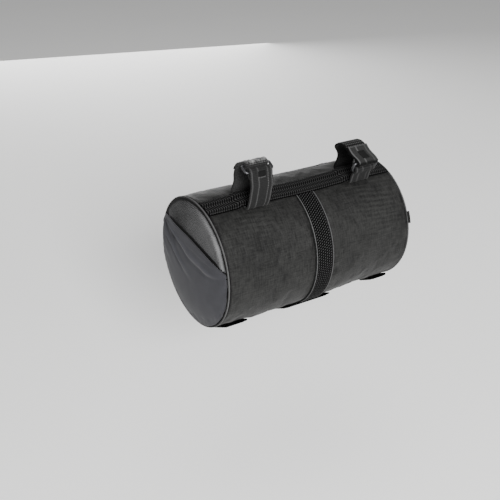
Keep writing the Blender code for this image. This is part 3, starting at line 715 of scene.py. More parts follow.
for end_name, end_side in (("left", -1), ("right", 1)):
    side_pocket(end_name, end_side)

# %% [markdown]
# ## Piping
#
# The rims are finished with piping, a cord wrapped in a bias strip of cloth and sewn into the seam. It catches
# the light as one thin pale line. It is a torus: a small circle carried round a big one.

# %% Piping round the rims
PIPING_CLOTH = plain_weave("bias-cut piping cloth", "#0c0c0c", "#505050", 0.9, 0.5, sheen=0.03)


def rim_piping(name, side):
    """A torus, swollen and pinched a little where it was sewn."""
    turn, small = np.meshgrid(np.linspace(0, 360, 481), np.linspace(0, 360, 15), indexing="ij")
    wobble = 1 + 0.05 * np.sin(np.radians(turn) * 90) + 0.03 * np.sin(np.radians(turn) * 13)
    circle = direction(small) * (PIPING_RADIUS * wobble)[..., None]
    points = np.concatenate([(side * RIM_X + circle[..., 0])[..., None],
                             BAG_MIDDLE + direction(turn) * (PIPING_RING + circle[..., 1])[..., None]], -1)
    measure = np.stack([np.radians(turn) * PIPING_RING, np.radians(small) * PIPING_RADIUS], -1)
    piping_highlight = bump((small - 90 + 180) % 360 - 180, 56)  # painted highlight on its outermost side
    mesh = grid_mesh("piping_" + name, points, measure, relief=0.9 * piping_highlight)
    add_piece(mesh, PIPING_CLOTH, "piping", "rim_piping_" + name)


for end_name, end_side in (("left", -1), ("right", 1)):
    rim_piping(end_name, end_side)

# %% [markdown]
# ## Strips of webbing
#
# Webbing is flat, with rounded woven edges. A strip is a section carried along: top face, round edge, under
# face, round edge. The function place tells where along, across and height end up in space, so the same strip
# lies on the barrel, goes round the bar or makes a loop. Its ends are closed by letting the section go flat.

# %% A strip of webbing
def strip_mesh(name, along, width, thickness, place, columns, top=None, under=None):
    """A closed strip. top(along, across) and under(along, across) give the relief of its faces in metres."""
    radius = thickness / 2
    flat = np.linspace(-1, 1, columns) * (width / 2 - radius)
    turn = np.radians(np.linspace(90, -90, 7)[1:-1])
    edge = radius * np.cos(turn)
    across = np.concatenate([flat, flat[-1] + edge, flat[::-1], flat[0] - edge, flat[:1]])
    height = radius * np.concatenate([flat * 0 + 1, np.sin(turn), flat * 0 - 1, -np.sin(turn), [1]])
    face = np.sign(np.round(height / radius, 3)) * (np.abs(height) > 0.999 * radius)
    ends = 0.3 * thickness
    inner_rows = along[(along > along[0] + ends) & (along < along[-1] - ends)]
    rows = np.concatenate([[along[0]] * 2, inner_rows, [along[-1]] * 2])
    squash = np.ones(len(rows))
    squash[[0, -1]] = 0
    squash[[1, -2]] = 0.8
    a, c = np.meshgrid(rows, across, indexing="ij")
    lift = np.zeros(a.shape)
    for shape, sign in ((top, 1), (under, -1)):
        if shape is not None:
            lift = lift + np.where(face == sign, shape(a, c), 0)
    h = (height + np.sign(height) * lift) * squash[:, None]
    # Painted shade and highlight: the low places of the relief go dark in a finish and the high places pale.
    painted_shade = 0.5 + 0 * lift if lift.max() == lift.min() else (lift - lift.min()) / (lift.max() - lift.min())
    return grid_mesh(name, place(a, c, h), np.stack([a, c], -1), relief=painted_shade)


def carry(points, outward, sideways=None):
    """A place function along a line: at each distance along it, across is sideways and height is outward.
    It also gives the line's length."""
    points = np.asarray(points, float)
    length = np.concatenate([[0], np.cumsum(np.linalg.norm(np.diff(points, axis=0), axis=1))])
    way = np.gradient(points, length, axis=0)
    way = way / np.linalg.norm(way, axis=1)[:, None]
    sideways = np.cross(outward, way) if sideways is None else sideways

    def place(along, across, height):
        along, across, height = np.broadcast_arrays(along, across, height)
        at = [np.stack([np.interp(along, length, field[:, k]) for k in range(3)], -1)
              for field in (points, sideways, outward)]
        return at[0] + at[1] * across[..., None] + at[2] * height[..., None]

    return place, length[-1]


# %% [markdown]
# ## Thread
#
# Stitches hold the strips. A stitch is a short grain of thread: a tube with closed, rounded ends, a few dozen
# faces each, placed by the same place functions as the webbing, so a row of them bends with it. The thread is
# polyester, dull and a little paler than what it holds, so that the eye sees it as a row of light dashes.

# %% Rows of stitches
THREAD = plain_weave("bonded polyester thread", "#1a1a1a", "#3a3a3a", 0.5, 0.3)
PALE_THREAD = plain_weave("grey polyester thread", "#2c2c2c", "#606060", 0.5, 0.3)


def stitch_grids(place, along, across, height, length, thickness, crosswise=False):
    """Grids of points for stitches at the given places: along the strip, or across it for bar tacks."""
    share = np.linspace(-1, 1, 6)[:, None]
    turn = np.linspace(0, 2 * np.pi, 7)[None, :]
    waist = np.sqrt(np.clip(1 - np.abs(share) ** 3, 0, 1))
    lengthwise = share * length / 2 + 0 * turn
    aside = waist * np.cos(turn) * thickness / 2
    up = waist * np.sin(turn) * thickness / 2
    along, across = np.broadcast_arrays(np.asarray(along, float), np.asarray(across, float))
    along, across = along[:, None, None], across[:, None, None]
    if crosswise:
        return place(along + aside, across + lengthwise, height + up)
    return place(along + lengthwise, across + aside, height + up)


def add_stitches(name, grids, slot, thread=None):
    """One piece of all the stitches in the grids."""
    points = np.concatenate(grids)
    add_piece(grid_mesh(name, points, points[..., :2]), thread or THREAD, slot)


def stitch_places(start, stop, pitch):
    """Evenly spaced places for stitches, about a pitch apart."""
    count = max(2, round((stop - start) / pitch))
    edges = np.linspace(start, stop, count + 1)
    return (edges[:-1] + edges[1:]) / 2


# %% [markdown]
# ## Grosgrain webbing
#
# The webbing along the top is black grosgrain with thick ribs across it. The ribs are in the mesh, a herringbone
# of small ridges, because they show at the edge of the strip too. The finish is painted near black in the grooves
# as shade, and painted a little paler on the crests as a highlight.

# %% Webbing finish
def woven_webbing(name, dark, light, rib, roughness=0.85, fuzz=0.03, painted_shade_depth=0.7):
    """Fine ribs across the strip, their spacing rib in millimetres and the yarns' 1.4, both drawn coarser than
    real ones so that they show. Grooves are painted darker and crests paler, a painted shade and highlight that
    are the stronger the greater painted_shade_depth, and where it is 1 or more the webbing reflects next to nothing."""
    material, tree, shader = new_finish(name, Roughness=roughness, Sheen_Weight=fuzz, Sheen_Roughness=0.5,
                                        Specular_IOR_Level=0.12 if painted_shade_depth < 1 else 0.04)
    cloth = add_node(tree, "ShaderNodeUVMap", uv_map=CLOTH_MAP).outputs["UV"]
    ribs = add_node(tree, "ShaderNodeTexWave", {"Vector": cloth, "Scale": per_period(rib), "Distortion": 0.7,
                    "Detail": 1.0, "Detail Scale": 0.8}, bands_direction="X").outputs["Fac"]
    ends = add_node(tree, "ShaderNodeTexWave", {"Vector": cloth, "Scale": per_period(1.4), "Distortion": 0.4},
                    bands_direction="Y").outputs["Fac"]
    yarns = add_node(tree, "ShaderNodeTexNoise", {"Vector": cloth, "Scale": 0.8, "Detail": 4.0,
                     "Roughness": 0.6}).outputs["Fac"]
    height = add_node(tree, "ShaderNodeAttribute", attribute_name=RELIEF_AND_SHADE).outputs["Fac"]
    tone = add_node(tree, "ShaderNodeMath", {0: height, 1: painted_shade_depth, 2: 0.27 - 0.6 * painted_shade_depth},
                    operation="MULTIPLY_ADD").outputs[0]
    tone = add_node(tree, "ShaderNodeMath", {0: ribs, 1: 0.22, 2: tone}, operation="MULTIPLY_ADD").outputs[0]
    tone = add_node(tree, "ShaderNodeMath", {0: yarns, 1: 0.4, 2: tone}, operation="MULTIPLY_ADD").outputs[0]
    colour = add_node(tree, "ShaderNodeMix", {"Factor": tone, 6: linear(dark), 7: linear(light)}, data_type="RGBA")
    tree.links.new(colour.outputs[2], shader.inputs["Base Color"])
    rise = add_node(tree, "ShaderNodeMath", {0: ends, 1: 0.5, 2: ribs}, operation="MULTIPLY_ADD").outputs[0]
    rise = add_node(tree, "ShaderNodeMath", {0: yarns, 1: 0.8, 2: rise}, operation="MULTIPLY_ADD").outputs[0]
    relief = add_node(tree, "ShaderNodeBump", {"Height": rise, "Strength": 0.6, "Distance": 0.15 * MM})
    tree.links.new(relief.outputs[0], shader.inputs["Normal"])
    return material


GROSGRAIN = woven_webbing("black grosgrain", "#000000", "#343434", 1.2, fuzz=0.0, painted_shade_depth=2.0)
print("finish:", GROSGRAIN.name)

# %% Webbing along the top
WEBBING_THICKNESS = 1.6 * MM
STRAP_WIDTH = 30 * MM
STRAP_THICKNESS = 2 * MM
STRAP_MIDDLES = np.array([-0.50, 0.55]) * 143 * MM  # shares of the straps' spacing
HUMP_SLOPE = 6 * MM
RIB = 3 * MM  # drawn about twice as coarse as the real ribs, so that they show
RIB_HEIGHT = 0.34 * MM
ZIGZAG = 6.2 * MM


def herringbone(along, across):
    """Ridges across a strip whose phase runs back and forth, which gives short slanting dashes: the cosine of
    the way along plus a zigzag of the way across."""
    zigzag = np.abs((across / ZIGZAG) % 2 - 1)
    ridge = 0.5 + 0.5 * np.cos(2 * np.pi * (along / RIB + 1.1 * zigzag))
    return RIB_HEIGHT * ridge * (0.55 + 0.45 * np.abs(2 * zigzag - 1))


def strap_distance(x):
    """How far a place along the bag is from the nearer strap's middle."""
    return np.minimum(np.abs(x - STRAP_MIDDLES[0]), np.abs(x - STRAP_MIDDLES[1]))


def on_webbing(along, across, height):
    """The strip along the top of the barrel, raised over the straps' feet."""
    past = strap_distance(along) - STRAP_WIDTH / 2 - 1 * MM
    raised = (STRAP_THICKNESS + PIECE_GAP) * (1 - ease(past / HUMP_SLOPE))
    degrees = TOP_ANGLE + np.degrees(across / BARREL_RADIUS)
    return on_barrel(along, degrees, PIECE_GAP + WEBBING_THICKNESS / 2 + raised + height)


along = np.arange(-BARREL_HALF, BARREL_HALF + RIB / 12, RIB / 6)
mesh = strip_mesh("webbing_top", along, WEBBING_WIDTH, WEBBING_THICKNESS, on_webbing, 26, top=herringbone)
add_piece(mesh, GROSGRAIN, "webbing", "top_webbing")
rows = stitch_places(-BARREL_HALF + 2 * MM, BARREL_HALF - 2 * MM, 3.2 * MM)
rows = rows[strap_distance(rows) > STRAP_WIDTH / 2 + 2 * MM]
lift = WEBBING_THICKNESS / 2 + 0.25 * MM
add_stitches("webbing_top_stitches", [stitch_grids(on_webbing, rows, edge * 10.6 * MM, lift, 2.3 * MM, 0.55 * MM)
                                      for edge in (-1, 1)], "webbing")

# %% [markdown]
# ## The band down the back
#
# A band of thick ribbed cloth runs down the rear of the barrel, between two bound edges. Its surface is rows of
# short slanting loops, painted deep black between them as shade. Each binding is folded over the band's edge and
# shows as a thin pale line, a painted highlight on the fold.

# %% The band
BAND_THICKNESS = 1.4 * MM
BAND_BINDING = 3 * MM
LOOP_PITCH, LOOP_SLANT, LOOP_ROW = 3.2 * MM, 5 * MM, 2.9 * MM  # drawn about twice as coarse as real loops
BAND_START = TOP_ANGLE + np.degrees((WEBBING_WIDTH / 2 + 0.3 * MM) / BARREL_RADIUS)
BAND_STOP = LOOP_ANGLE - np.degrees((LOOP_WIDTH / 2 + 0.3 * MM) / BARREL_RADIUS)
BAND_LENGTH = np.radians(BAND_STOP - BAND_START) * BARREL_RADIUS
BAND_CLOTH = woven_webbing("black ribbed band", "#000000", "#393939", 1.1, fuzz=0.0, painted_shade_depth=2.6)
BINDING_CLOTH = plain_weave("binding tape", "#050505", "#585858", 0.9, 0.5, sheen=0.0)


def slanted_loops(along, across):
    """Rows of short slanting loops: two crossed waves, of which only the crests stand up."""
    first = np.cos(2 * np.pi * (along / LOOP_PITCH + across / LOOP_SLANT))
    second = np.cos(2 * np.pi * across / LOOP_ROW)
    return 0.5 * MM * np.clip(0.25 + 0.6 * first + 0.35 * second, 0, 1.2)


def on_band(along, across, height):
    """The band: along goes down the rear of the barrel, and across goes along the bag."""
    degrees = BAND_START + np.degrees(along / BARREL_RADIUS)
    return on_barrel(across, degrees, PIECE_GAP + BAND_THICKNESS / 2 + height)


along = np.arange(0, BAND_LENGTH, 0.5 * MM)
mesh = strip_mesh("band_cloth", along, BAND_WIDTH - 2 * MM, BAND_THICKNESS, on_band, 40, top=slanted_loops)
add_piece(mesh, BAND_CLOTH, "band", "centre_band")
for edge, edge_name in ((-1, "left"), (1, "right")):
    middle = edge * (BAND_WIDTH - BAND_BINDING) / 2

    def on_binding(along, across, height, middle=middle):
        return on_band(along, across + middle, height + 0.3 * MM)

    def folded_edge(along, across, edge=edge):
        return 0.15 * MM * bump(across - edge * 0.35 * MM, 0.45 * MM)

    mesh = strip_mesh("band_binding_" + edge_name, np.arange(0, BAND_LENGTH, 2 * MM), BAND_BINDING,
                      BAND_THICKNESS + 0.5 * MM, on_binding, 15, top=folded_edge)
    add_piece(mesh, BINDING_CLOTH, "band")

# %% [markdown]
# ## The straps' way round the bar
#
# Each strap comes out from under the webbing, goes up the front, over the bar, through a wire ring, turns back
# on itself and is pressed down on its own first layer. The ring hangs on a loop of webbing that comes up from
# the bag at the rear. Both are lines in the YZ plane: arcs round the bar, half turns round the ring's wires,
# and smooth bridges down to the barrel.

# %% Radii of the layers
RING_WIRE = 3 * MM
RING_WINDOW = 8 * MM
SETTLE = 26  # degrees past a wire in which a strap settles on the layer below
INNER_LAYER = BAR_RADIUS + 0.5 * MM + STRAP_THICKNESS / 2
FOLD_RADIUS = RING_WIRE / 2 + SEAM_GAP + STRAP_THICKNESS / 2
RING_LAYER = INNER_LAYER + FOLD_RADIUS
OUTER_LAYER = INNER_LAYER + STRAP_THICKNESS + SEAM_GAP
RING_HALF_ANGLE = np.degrees(np.arcsin((RING_WINDOW + RING_WIRE) / 2 / RING_LAYER))
WEBBING_HALF_ANGLE = np.degrees(WEBBING_WIDTH / 2 / BARREL_RADIUS)
# In degrees: where a strap meets the bar, how far a ring's loop goes on past its wire, and how far the feet go
# past the webbing's edge and stop short of its middle.
STRAP_FRONT, LOOP_UNDERLAP, STRAP_FOOT, FOOT_APART = -8, 22, 0.5, 1
print("layers round the bar:", round(INNER_LAYER / MM, 2), round(OUTER_LAYER / MM, 2), round(RING_LAYER / MM, 2), "mm")


# %% Pieces of a strap's line
def bar_arc(start, stop, wire=None):
    """An arc round the bar: on the inner layer, or, given the angle of a wire, from over that wire down
    onto the outer layer."""
    turn = np.linspace(start, stop, max(6, round(abs(stop - start) / 2)))
    radius = INNER_LAYER + 0 * turn
    if wire is not None:
        radius = OUTER_LAYER + (RING_LAYER + FOLD_RADIUS - OUTER_LAYER) * (1 - ease(np.abs(turn - wire) / SETTLE))
    return direction(turn) * radius[:, None]


def half_turn(wire, start, stop):
    """Round a ring's wire, on a circle of the fold's radius."""
    return RING_LAYER * direction(wire) + FOLD_RADIUS * direction(np.linspace(start, stop, 15)[1:-1])


def bridge(start, start_way, stop, stop_way):
    """A cubic curve with given ends and a given direction at each: the four are added up, each times its own
    cubic of the share of the way, which is 1 or has slope 1 at its end and is 0 at the other."""
    share = np.linspace(0, 1, 31)[1:-1, None]
    pull = np.linalg.norm(stop - start)
    from_start = (2 * share**3 - 3 * share**2 + 1) * start + (share**3 - 2 * share**2 + share) * pull * start_way
    return from_start + (3 * share**2 - 2 * share**3) * stop + (share**3 - share**2) * pull * stop_way


def foot(middle_x, start, stop):
    """The stretch that lies on the barrel, under the webbing."""
    turn = np.linspace(start, stop, 8)
    height = barrel_radius(middle_x, turn) + PIECE_GAP + STRAP_THICKNESS / 2
    return BAG_MIDDLE + direction(turn) * height[:, None]


def strap_line(middle_x, ring, loose_end):
    """The strap's line, from its foot to its loose end."""
    wire = ring - RING_HALF_ANGLE
    edge = TOP_ANGLE - WEBBING_HALF_ANGLE - STRAP_FOOT
    under = foot(middle_x, TOP_ANGLE - FOOT_APART, edge)
    over = bar_arc(STRAP_FRONT, wire)
    rise = bridge(under[-1], direction(edge - 90), over[0], direction(STRAP_FRONT + 90))
    return np.concatenate([under, rise, over, half_turn(wire, wire + 180, wire), bar_arc(wire, loose_end, wire)])


def loop_line(middle_x, ring, leaves):
    """The ring loop's line, from its sewn inner end round the wire and down to its foot."""
    wire = ring + RING_HALF_ANGLE
    edge = TOP_ANGLE + WEBBING_HALF_ANGLE + STRAP_FOOT
    inside = bar_arc(wire + LOOP_UNDERLAP, wire)
    outside = bar_arc(wire, leaves, wire)
    under = foot(middle_x, edge, TOP_ANGLE + FOOT_APART)
    drop = bridge(outside[-1], direction(leaves + 90), under[0], direction(edge - 90))
    return np.concatenate([inside, half_turn(wire, wire - 180, wire), outside, drop, under])


def line_on(path, middle_x, lean=0.0):
    """A place function for a strip along a path in the YZ plane. From just under the bar's axis up to its
    top, the strip shifts along the bar by the lean."""
    step = np.linalg.norm(np.diff(path, axis=0), axis=1)
    path = path[np.concatenate([[True], step > 0.01 * MM])]
    length = np.concatenate([[0], np.cumsum(np.linalg.norm(np.diff(path, axis=0), axis=1))])
    even = np.linspace(0, length[-1], round(length[-1] / (0.7 * MM)))
    path = np.stack([np.interp(even, length, path[:, k]) for k in (0, 1)], -1)
    way = np.gradient(path, axis=0)
    way = way / np.linalg.norm(way, axis=1)[:, None]
    x = middle_x + lean * ease((path[:, 1] + 2 * MM) / (16 * MM))
    outward = np.stack([0 * x, way[:, 1], -way[:, 0]], -1)
    return carry(np.column_stack([x, path]), outward, sideways=np.tile([1.0, 0.0, 0.0], (len(path), 1)))


# %% [markdown]
# ## Hook-and-loop tape and strap webbing
#
# A strap's tape is brushed loops on one face, which look like short felt, and rows of small hooks on the other.
# The ring loops are plain webbing with woven edges and lines of stitching along them.

# %% Strap finishes
LOOP_TAPE = woven_webbing("brushed loop tape", "#1c1c1c", "#8a8a8a", 1.3, 0.9, fuzz=0.08, painted_shade_depth=1.1)
HOOK_TAPE = woven_webbing("hook tape", "#060606", "#525252", 0.9, 0.7, painted_shade_depth=1.5)
STRAP_WEBBING = woven_webbing("polypropylene webbing", "#111111", "#3e3e3e", 1.9, 0.8, fuzz=0.02, painted_shade_depth=1.0)


def felt(along, across):
    """Short brushed loops: the sum of four waves that don't repeat together, cut off below."""
    a, c = along / MM, across / MM
    sum_of_waves = (np.sin(1.7 * a + 1.3 * np.sin(0.9 * c)) + np.sin(2.0 * c + 0.9 * np.sin(1.1 * a))
                    + 0.7 * np.sin(1.3 * a - 1.6 * c) + 0.7 * np.sin(0.9 * a + 2.1 * c))
    return 0.2 * MM * np.clip(1 + 0.6 * sum_of_waves, 0, 2.4)


HOOK_PITCH, HOOK_ROW = 3.6 * MM, 2.7 * MM  # drawn about twice as coarse as real hooks


def hooks(along, across):
    """Rows of small knobs in a brick pattern: a bell on the distance from the middle of each brick."""
    shift = 0.5 * (np.floor(along / HOOK_PITCH) % 2)
    knob_a = (along / HOOK_PITCH) % 1 - 0.5
    knob_c = (across / HOOK_ROW + shift) % 1 - 0.5
    return 0.55 * MM * bump(np.hypot(knob_a, knob_c), 0.30)


# %% Raised lines along a strap
# Columns, in millimetres: place across, height, reach.
WEBBING_LINES = ((-13, 0.30, 0.8), (13, 0.30, 0.8), (-4.4, 0.28, 0.8), (8, 0.18, 0.8))
TAIL_LINES = ((-13.2, 0.24, 0.9), (-3.6, 0.22, 0.8), (9.5, 0.12, 0.8), (13.2, 0.12, 0.8))


def raised_lines(across, base, lines):
    """A base height plus a bell across each line, in metres."""
    for place, height, reach in lines:
        base = base + height * bump(across / MM - place, reach)
    return MM * base


def woven_edges(along, across):
    """Fine ribs both ways, and raised lines: two woven edges and the inner lines of the doubled part."""
    ribs = 0.05 * np.cos(2 * np.pi * along / (1.9 * MM)) + 0.04 * np.cos(2 * np.pi * (across / MM) / 1.3)
    return raised_lines(across, ribs, WEBBING_LINES)


def smooth_tail(along, across):
    """The back of a hook strap's loose end: smooth, with two pale lines on its left part and two faint ones."""
    return raised_lines(across, 0.185, TAIL_LINES)


def brushed_tail(along, across):
    """The loose end's brushed face: the felt, on slow lumps that spoil its outline."""
    a, c = along / MM, across / MM
    lumps = (0.45 + 0.32 * np.sin(0.62 * c + 1.1 * np.sin(0.55 * a) + 0.8 * np.sin(0.31 * c))
             + 0.30 * np.sin(0.43 * c - 0.45 * a + 1))
    return felt(along, across) * 1.3 + 0.8 * MM * np.clip(lumps, 0, 1)


print("raised lines:", len(WEBBING_LINES), "on the webbing and", len(TAIL_LINES), "on the smooth tail")


# %% The straps and ring loops
# Columns: name, place along the bag, ring's place round the bar, strap's loose end, where the ring's loop
# leaves the bar, and how far the strap leans along the bar.
STRAPS = (
    ("left", STRAP_MIDDLES[0], 120, 25, 196, 0.0),
    ("right", STRAP_MIDDLES[1], 203, 123, 230, -9 * MM),
)
FOLD_FULLNESS = 1.2  # millimetres
FOLD_REACH = 3.4 * MM


def tail_only(inner, tail, fold_at):
    """A face that is smooth against the bar, and takes the tail's relief past the fold."""
    def relief(along, across):
        past = ease((along - fold_at) / (4 * MM))
        return inner * felt(along, across) * (1 - past) + tail(along, across) * past
    return relief


def full_fold(place, fold_at, side):
    """A place function with a fuller fold: thick cloth bulges inside where it turns back, and fills the ring."""
    def full(along, across, height):
        share = np.clip(side * height / (STRAP_THICKNESS / 2), 0, 1)
        return place(along, across, height + side * share * FOLD_FULLNESS * MM * bump(along - fold_at, FOLD_REACH))
    return full


for name, middle_x, ring, loose_end, leaves, lean in STRAPS:
    place, length = line_on(strap_line(middle_x, ring, loose_end), middle_x, lean)
    fold_at = length - np.radians(abs(ring - RING_HALF_ANGLE - loose_end)) * OUTER_LAYER - 5 * MM
    top, under, cloth = (hooks, smooth_tail, HOOK_TAPE) if name == "right" else (felt, brushed_tail, LOOP_TAPE)
    mesh = strip_mesh("strap_tape_" + name, np.arange(0, length, 0.6 * MM), STRAP_WIDTH, STRAP_THICKNESS,
                      full_fold(place, fold_at, -1), 46, top=top, under=tail_only(0.3, under, fold_at))
    add_piece(mesh, cloth, "strap", "bar_strap_" + name)
    place, length = line_on(loop_line(middle_x, ring, leaves), middle_x)
    fold_at = np.radians(LOOP_UNDERLAP) * INNER_LAYER + np.pi * FOLD_RADIUS / 2
    mesh = strip_mesh("ring_webbing_" + name, np.arange(0, length, 0.8 * MM), STRAP_WIDTH, STRAP_THICKNESS,
                      full_fold(place, fold_at, 1), 60, top=woven_edges, under=woven_edges)
    add_piece(mesh, STRAP_WEBBING, "strap_webbing", "ring_loop_" + name)

# %% [markdown]
# ## The wire rings
#
# Each ring is steel wire bent into a rectangle and plated dark, like gunmetal. A metal's colour is its
# reflection, so it gets metallic 1, a grey, and a roughness that varies a little where the strap has rubbed it.

# %% The rings
def gunmetal():
    """Plated steel wire with fine scratches and rubbed places."""
    material, tree, shader = new_finish("gunmetal-plated steel wire", Metallic=1.0)
    place = add_node(tree, "ShaderNodeTexCoord").outputs["Object"]
    rub = add_node(tree, "ShaderNodeTexNoise", {"Vector": place, "Scale": 400.0, "Detail": 4.0}).outputs["Fac"]
    colour = add_node(tree, "ShaderNodeMix", {"Factor": rub, 6: linear("#303032"), 7: linear("#606062")},
                      data_type="RGBA")
    tree.links.new(colour.outputs[2], shader.inputs["Base Color"])
    rough = add_node(tree, "ShaderNodeMapRange", {"Value": rub, "To Min": 0.35, "To Max": 0.55})
    tree.links.new(rough.outputs[0], shader.inputs["Roughness"])
    return material


GUNMETAL = gunmetal()
RING_SIDE_ROOM = 1.5 * MM
RING_CORNER = 3 * MM
half_x = STRAP_WIDTH / 2 + RING_SIDE_ROOM + RING_WIRE / 2
half_y = (RING_WINDOW + RING_WIRE) / 2
turn = np.concatenate([np.linspace(90 * k, 90 * k + 90, 9) for k in range(4)])
signs = np.array([(1, 1), (-1, 1), (-1, -1), (1, -1)])[np.repeat(np.arange(4), 9)]
closed = np.r_[0:36, 0]  # four quarter turns of nine places, and back to the first
line = (signs * (np.array([half_x, half_y]) - RING_CORNER) + RING_CORNER * direction(turn))[closed]
bend = direction(turn)[closed]
small = np.linspace(0, 360, 15)
section = direction(small) * RING_WIRE / 2
for name, middle_x, ring, *_ in STRAPS:
    rail = line[:, None, :] + bend[:, None, :] * section[None, :, :1]
    rise = RING_LAYER * np.cos(np.radians(RING_HALF_ANGLE)) + np.broadcast_to(section[None, :, 1], rail.shape[:2])
    out, way = direction(ring), direction(ring + 90)
    yz = out * rise[..., None] + way * rail[..., 1:]
    points = np.concatenate([middle_x + rail[..., :1], yz], -1)
    measure = np.stack(np.broadcast_arrays(np.arange(37)[:, None] * 2 * MM, small[None, :] * 0.02 * MM), -1)
    add_piece(grid_mesh("ring_wire_" + name, points, measure), GUNMETAL, "ring_wire", "strap_ring_" + name)

# %% [markdown]
# ## Loops under the bag
#
# Three lengths of webbing are sewn along the bottom, each held at its ends and free between, so that a strap
# can pass through. Each is a strip along X whose height eases from the sewn feet up to the free part.

# %% The bottom loops
LOOP_FOOT, LOOP_SLOPE, LOOP_CLEAR = 3 * MM, 2 * MM, 0.8 * MM
for name, start, stop, thickness in BOTTOM_LOOPS:
    start_x, stop_x = start * BAG_LENGTH, stop * BAG_LENGTH
    fullest = barrel_radius(np.linspace(start_x, stop_x, 9), LOOP_ANGLE).max()
    line_x = np.linspace(start_x, stop_x, 120)
    sewn = barrel_radius(line_x, LOOP_ANGLE) + PIECE_GAP + thickness / 2
    free = fullest + LOOP_CLEAR + thickness / 2
    share = ease((np.minimum(line_x - start_x, stop_x - line_x) - LOOP_FOOT) / LOOP_SLOPE)
    height = sewn + (free - sewn) * share
    out = direction(LOOP_ANGLE)
    line = np.column_stack([line_x, BAG_MIDDLE + out * height[:, None]])
    place, length = carry(line, np.tile([0, *out], (len(line), 1)))
    mesh = strip_mesh("loop_webbing_" + name, np.arange(0, length, 0.5 * MM), LOOP_WIDTH, thickness, place, 26,
                      top=herringbone)
    add_piece(mesh, GROSGRAIN, "webbing", "bottom_loop_" + name)
    tacks = []
    for at in (2 * MM, length - 2 * MM):
        rows = at + np.linspace(-0.8, 0.8, 4) * MM
        for offset in (-9, -4.5, 0, 4.5, 9):
            tacks.append(stitch_grids(place, rows, offset * MM, thickness / 2 + 0.2 * MM, 4.2 * MM, 0.5 * MM,
                                      crosswise=True))
    add_stitches("loop_tacks_" + name, tacks, "webbing")

# %% [markdown]
# ## The zip
#
# The closure is on the front of the bag: tape over a slot, a coil of nylon teeth, and a slider with a tape pull.
# Each half of the coil is a row of small grains across the middle, and the two rows mesh half a pitch apart. The
# nylon is moulded and smooth, so it shows small highlights on a black that is otherwise flat.

# %% The zip
ZIP_THICKNESS = 1.2 * MM
TOOTH_PITCH = 2 * MM
ZIP_CLOTH = woven_webbing("zip tape", "#060606", "#202020", 0.9)


def on_zip(along, across, height):
    """The zip's strip: along the bag, at the zip's angle."""
    degrees = ZIP_ANGLE + np.degrees(across / BARREL_RADIUS)
    return on_barrel(along, degrees, PIECE_GAP + ZIP_THICKNESS / 2 + height)


def coil_plastic():
    """Nylon coil: smooth, dark, a little glossy."""
    material, tree, shader = new_finish("nylon zip coil", Roughness=0.38, IOR=1.53)
    place = add_node(tree, "ShaderNodeTexCoord").outputs["Object"]
    grain = add_node(tree, "ShaderNodeTexNoise", {"Vector": place, "Scale": 600.0}).outputs["Fac"]
    colour = add_node(tree, "ShaderNodeMix", {"Factor": grain, 6: linear("#0e0e0e"), 7: linear("#2a2a2a")},
                      data_type="RGBA")
    tree.links.new(colour.outputs[2], shader.inputs["Base Color"])
    return material


COIL = coil_plastic()
half_zip = ZIP_LENGTH / 2 + ZIP_TAIL
mesh = strip_mesh("zip_tape", np.arange(-half_zip, half_zip, 1.5 * MM), ZIP_TAPE, ZIP_THICKNESS, on_zip, 20)
add_piece(mesh, ZIP_CLOTH, "zip_tape", "zipper")
teeth = np.arange(-ZIP_LENGTH / 2, ZIP_LENGTH / 2, TOOTH_PITCH)
coil = [stitch_grids(on_zip, teeth + shift, side * 0.9 * MM, 1.1 * MM, 3.4 * MM, 1.3 * MM, crosswise=True)
        for side, shift in ((-1, 0), (1, TOOTH_PITCH / 2))]
add_stitches("zip_coil", coil, "zip_tape", COIL)

# %% The slider
SLIDER_X = ZIP_LENGTH / 2 - 9 * MM
SLIDER_POWER = 0.45  # 1 makes an ellipsoid, and less a squarer body
u, v = np.meshgrid(np.linspace(-90, 90, 21), np.linspace(0, 360, 33), indexing="ij")
cos_u, sin_u = direction(u)[..., 0], direction(u)[..., 1]
cos_v, sin_v = direction(v)[..., 0], direction(v)[..., 1]


def squared(value):
    """A superellipse's sine or cosine: the power of its size, with its sign."""
    return np.sign(value) * np.abs(value) ** SLIDER_POWER


body = on_zip(SLIDER_X + 4.5 * MM * squared(cos_u) * squared(cos_v), 4 * MM * squared(cos_u) * squared(sin_v),
              1.9 * MM + 1.5 * MM * squared(sin_u))
add_piece(grid_mesh("zip_slider", body, np.stack([u, v], -1) * MM * 0.1), GUNMETAL, "zip_tape")


def on_pull(along, across, height):
    """The pull lies back along the zip, on top of the coil."""
    return on_zip(SLIDER_X - 3 * MM - along, across, height + 3.4 * MM - 0.9 * MM * ease(along / (12 * MM)))


mesh = strip_mesh("zip_pull", np.arange(0, 26 * MM, 0.7 * MM), 5 * MM, 1.3 * MM, on_pull, 7)
add_piece(mesh, GROSGRAIN, "zip_tape")

# %% [markdown]
# ## The tab in the rim
#
# A short tape is folded in half and sewn into the right rim's seam, so that it stands out as a small tab. Its
# line goes out, round the fold and back, and it is as long along the rim as the tape is wide.

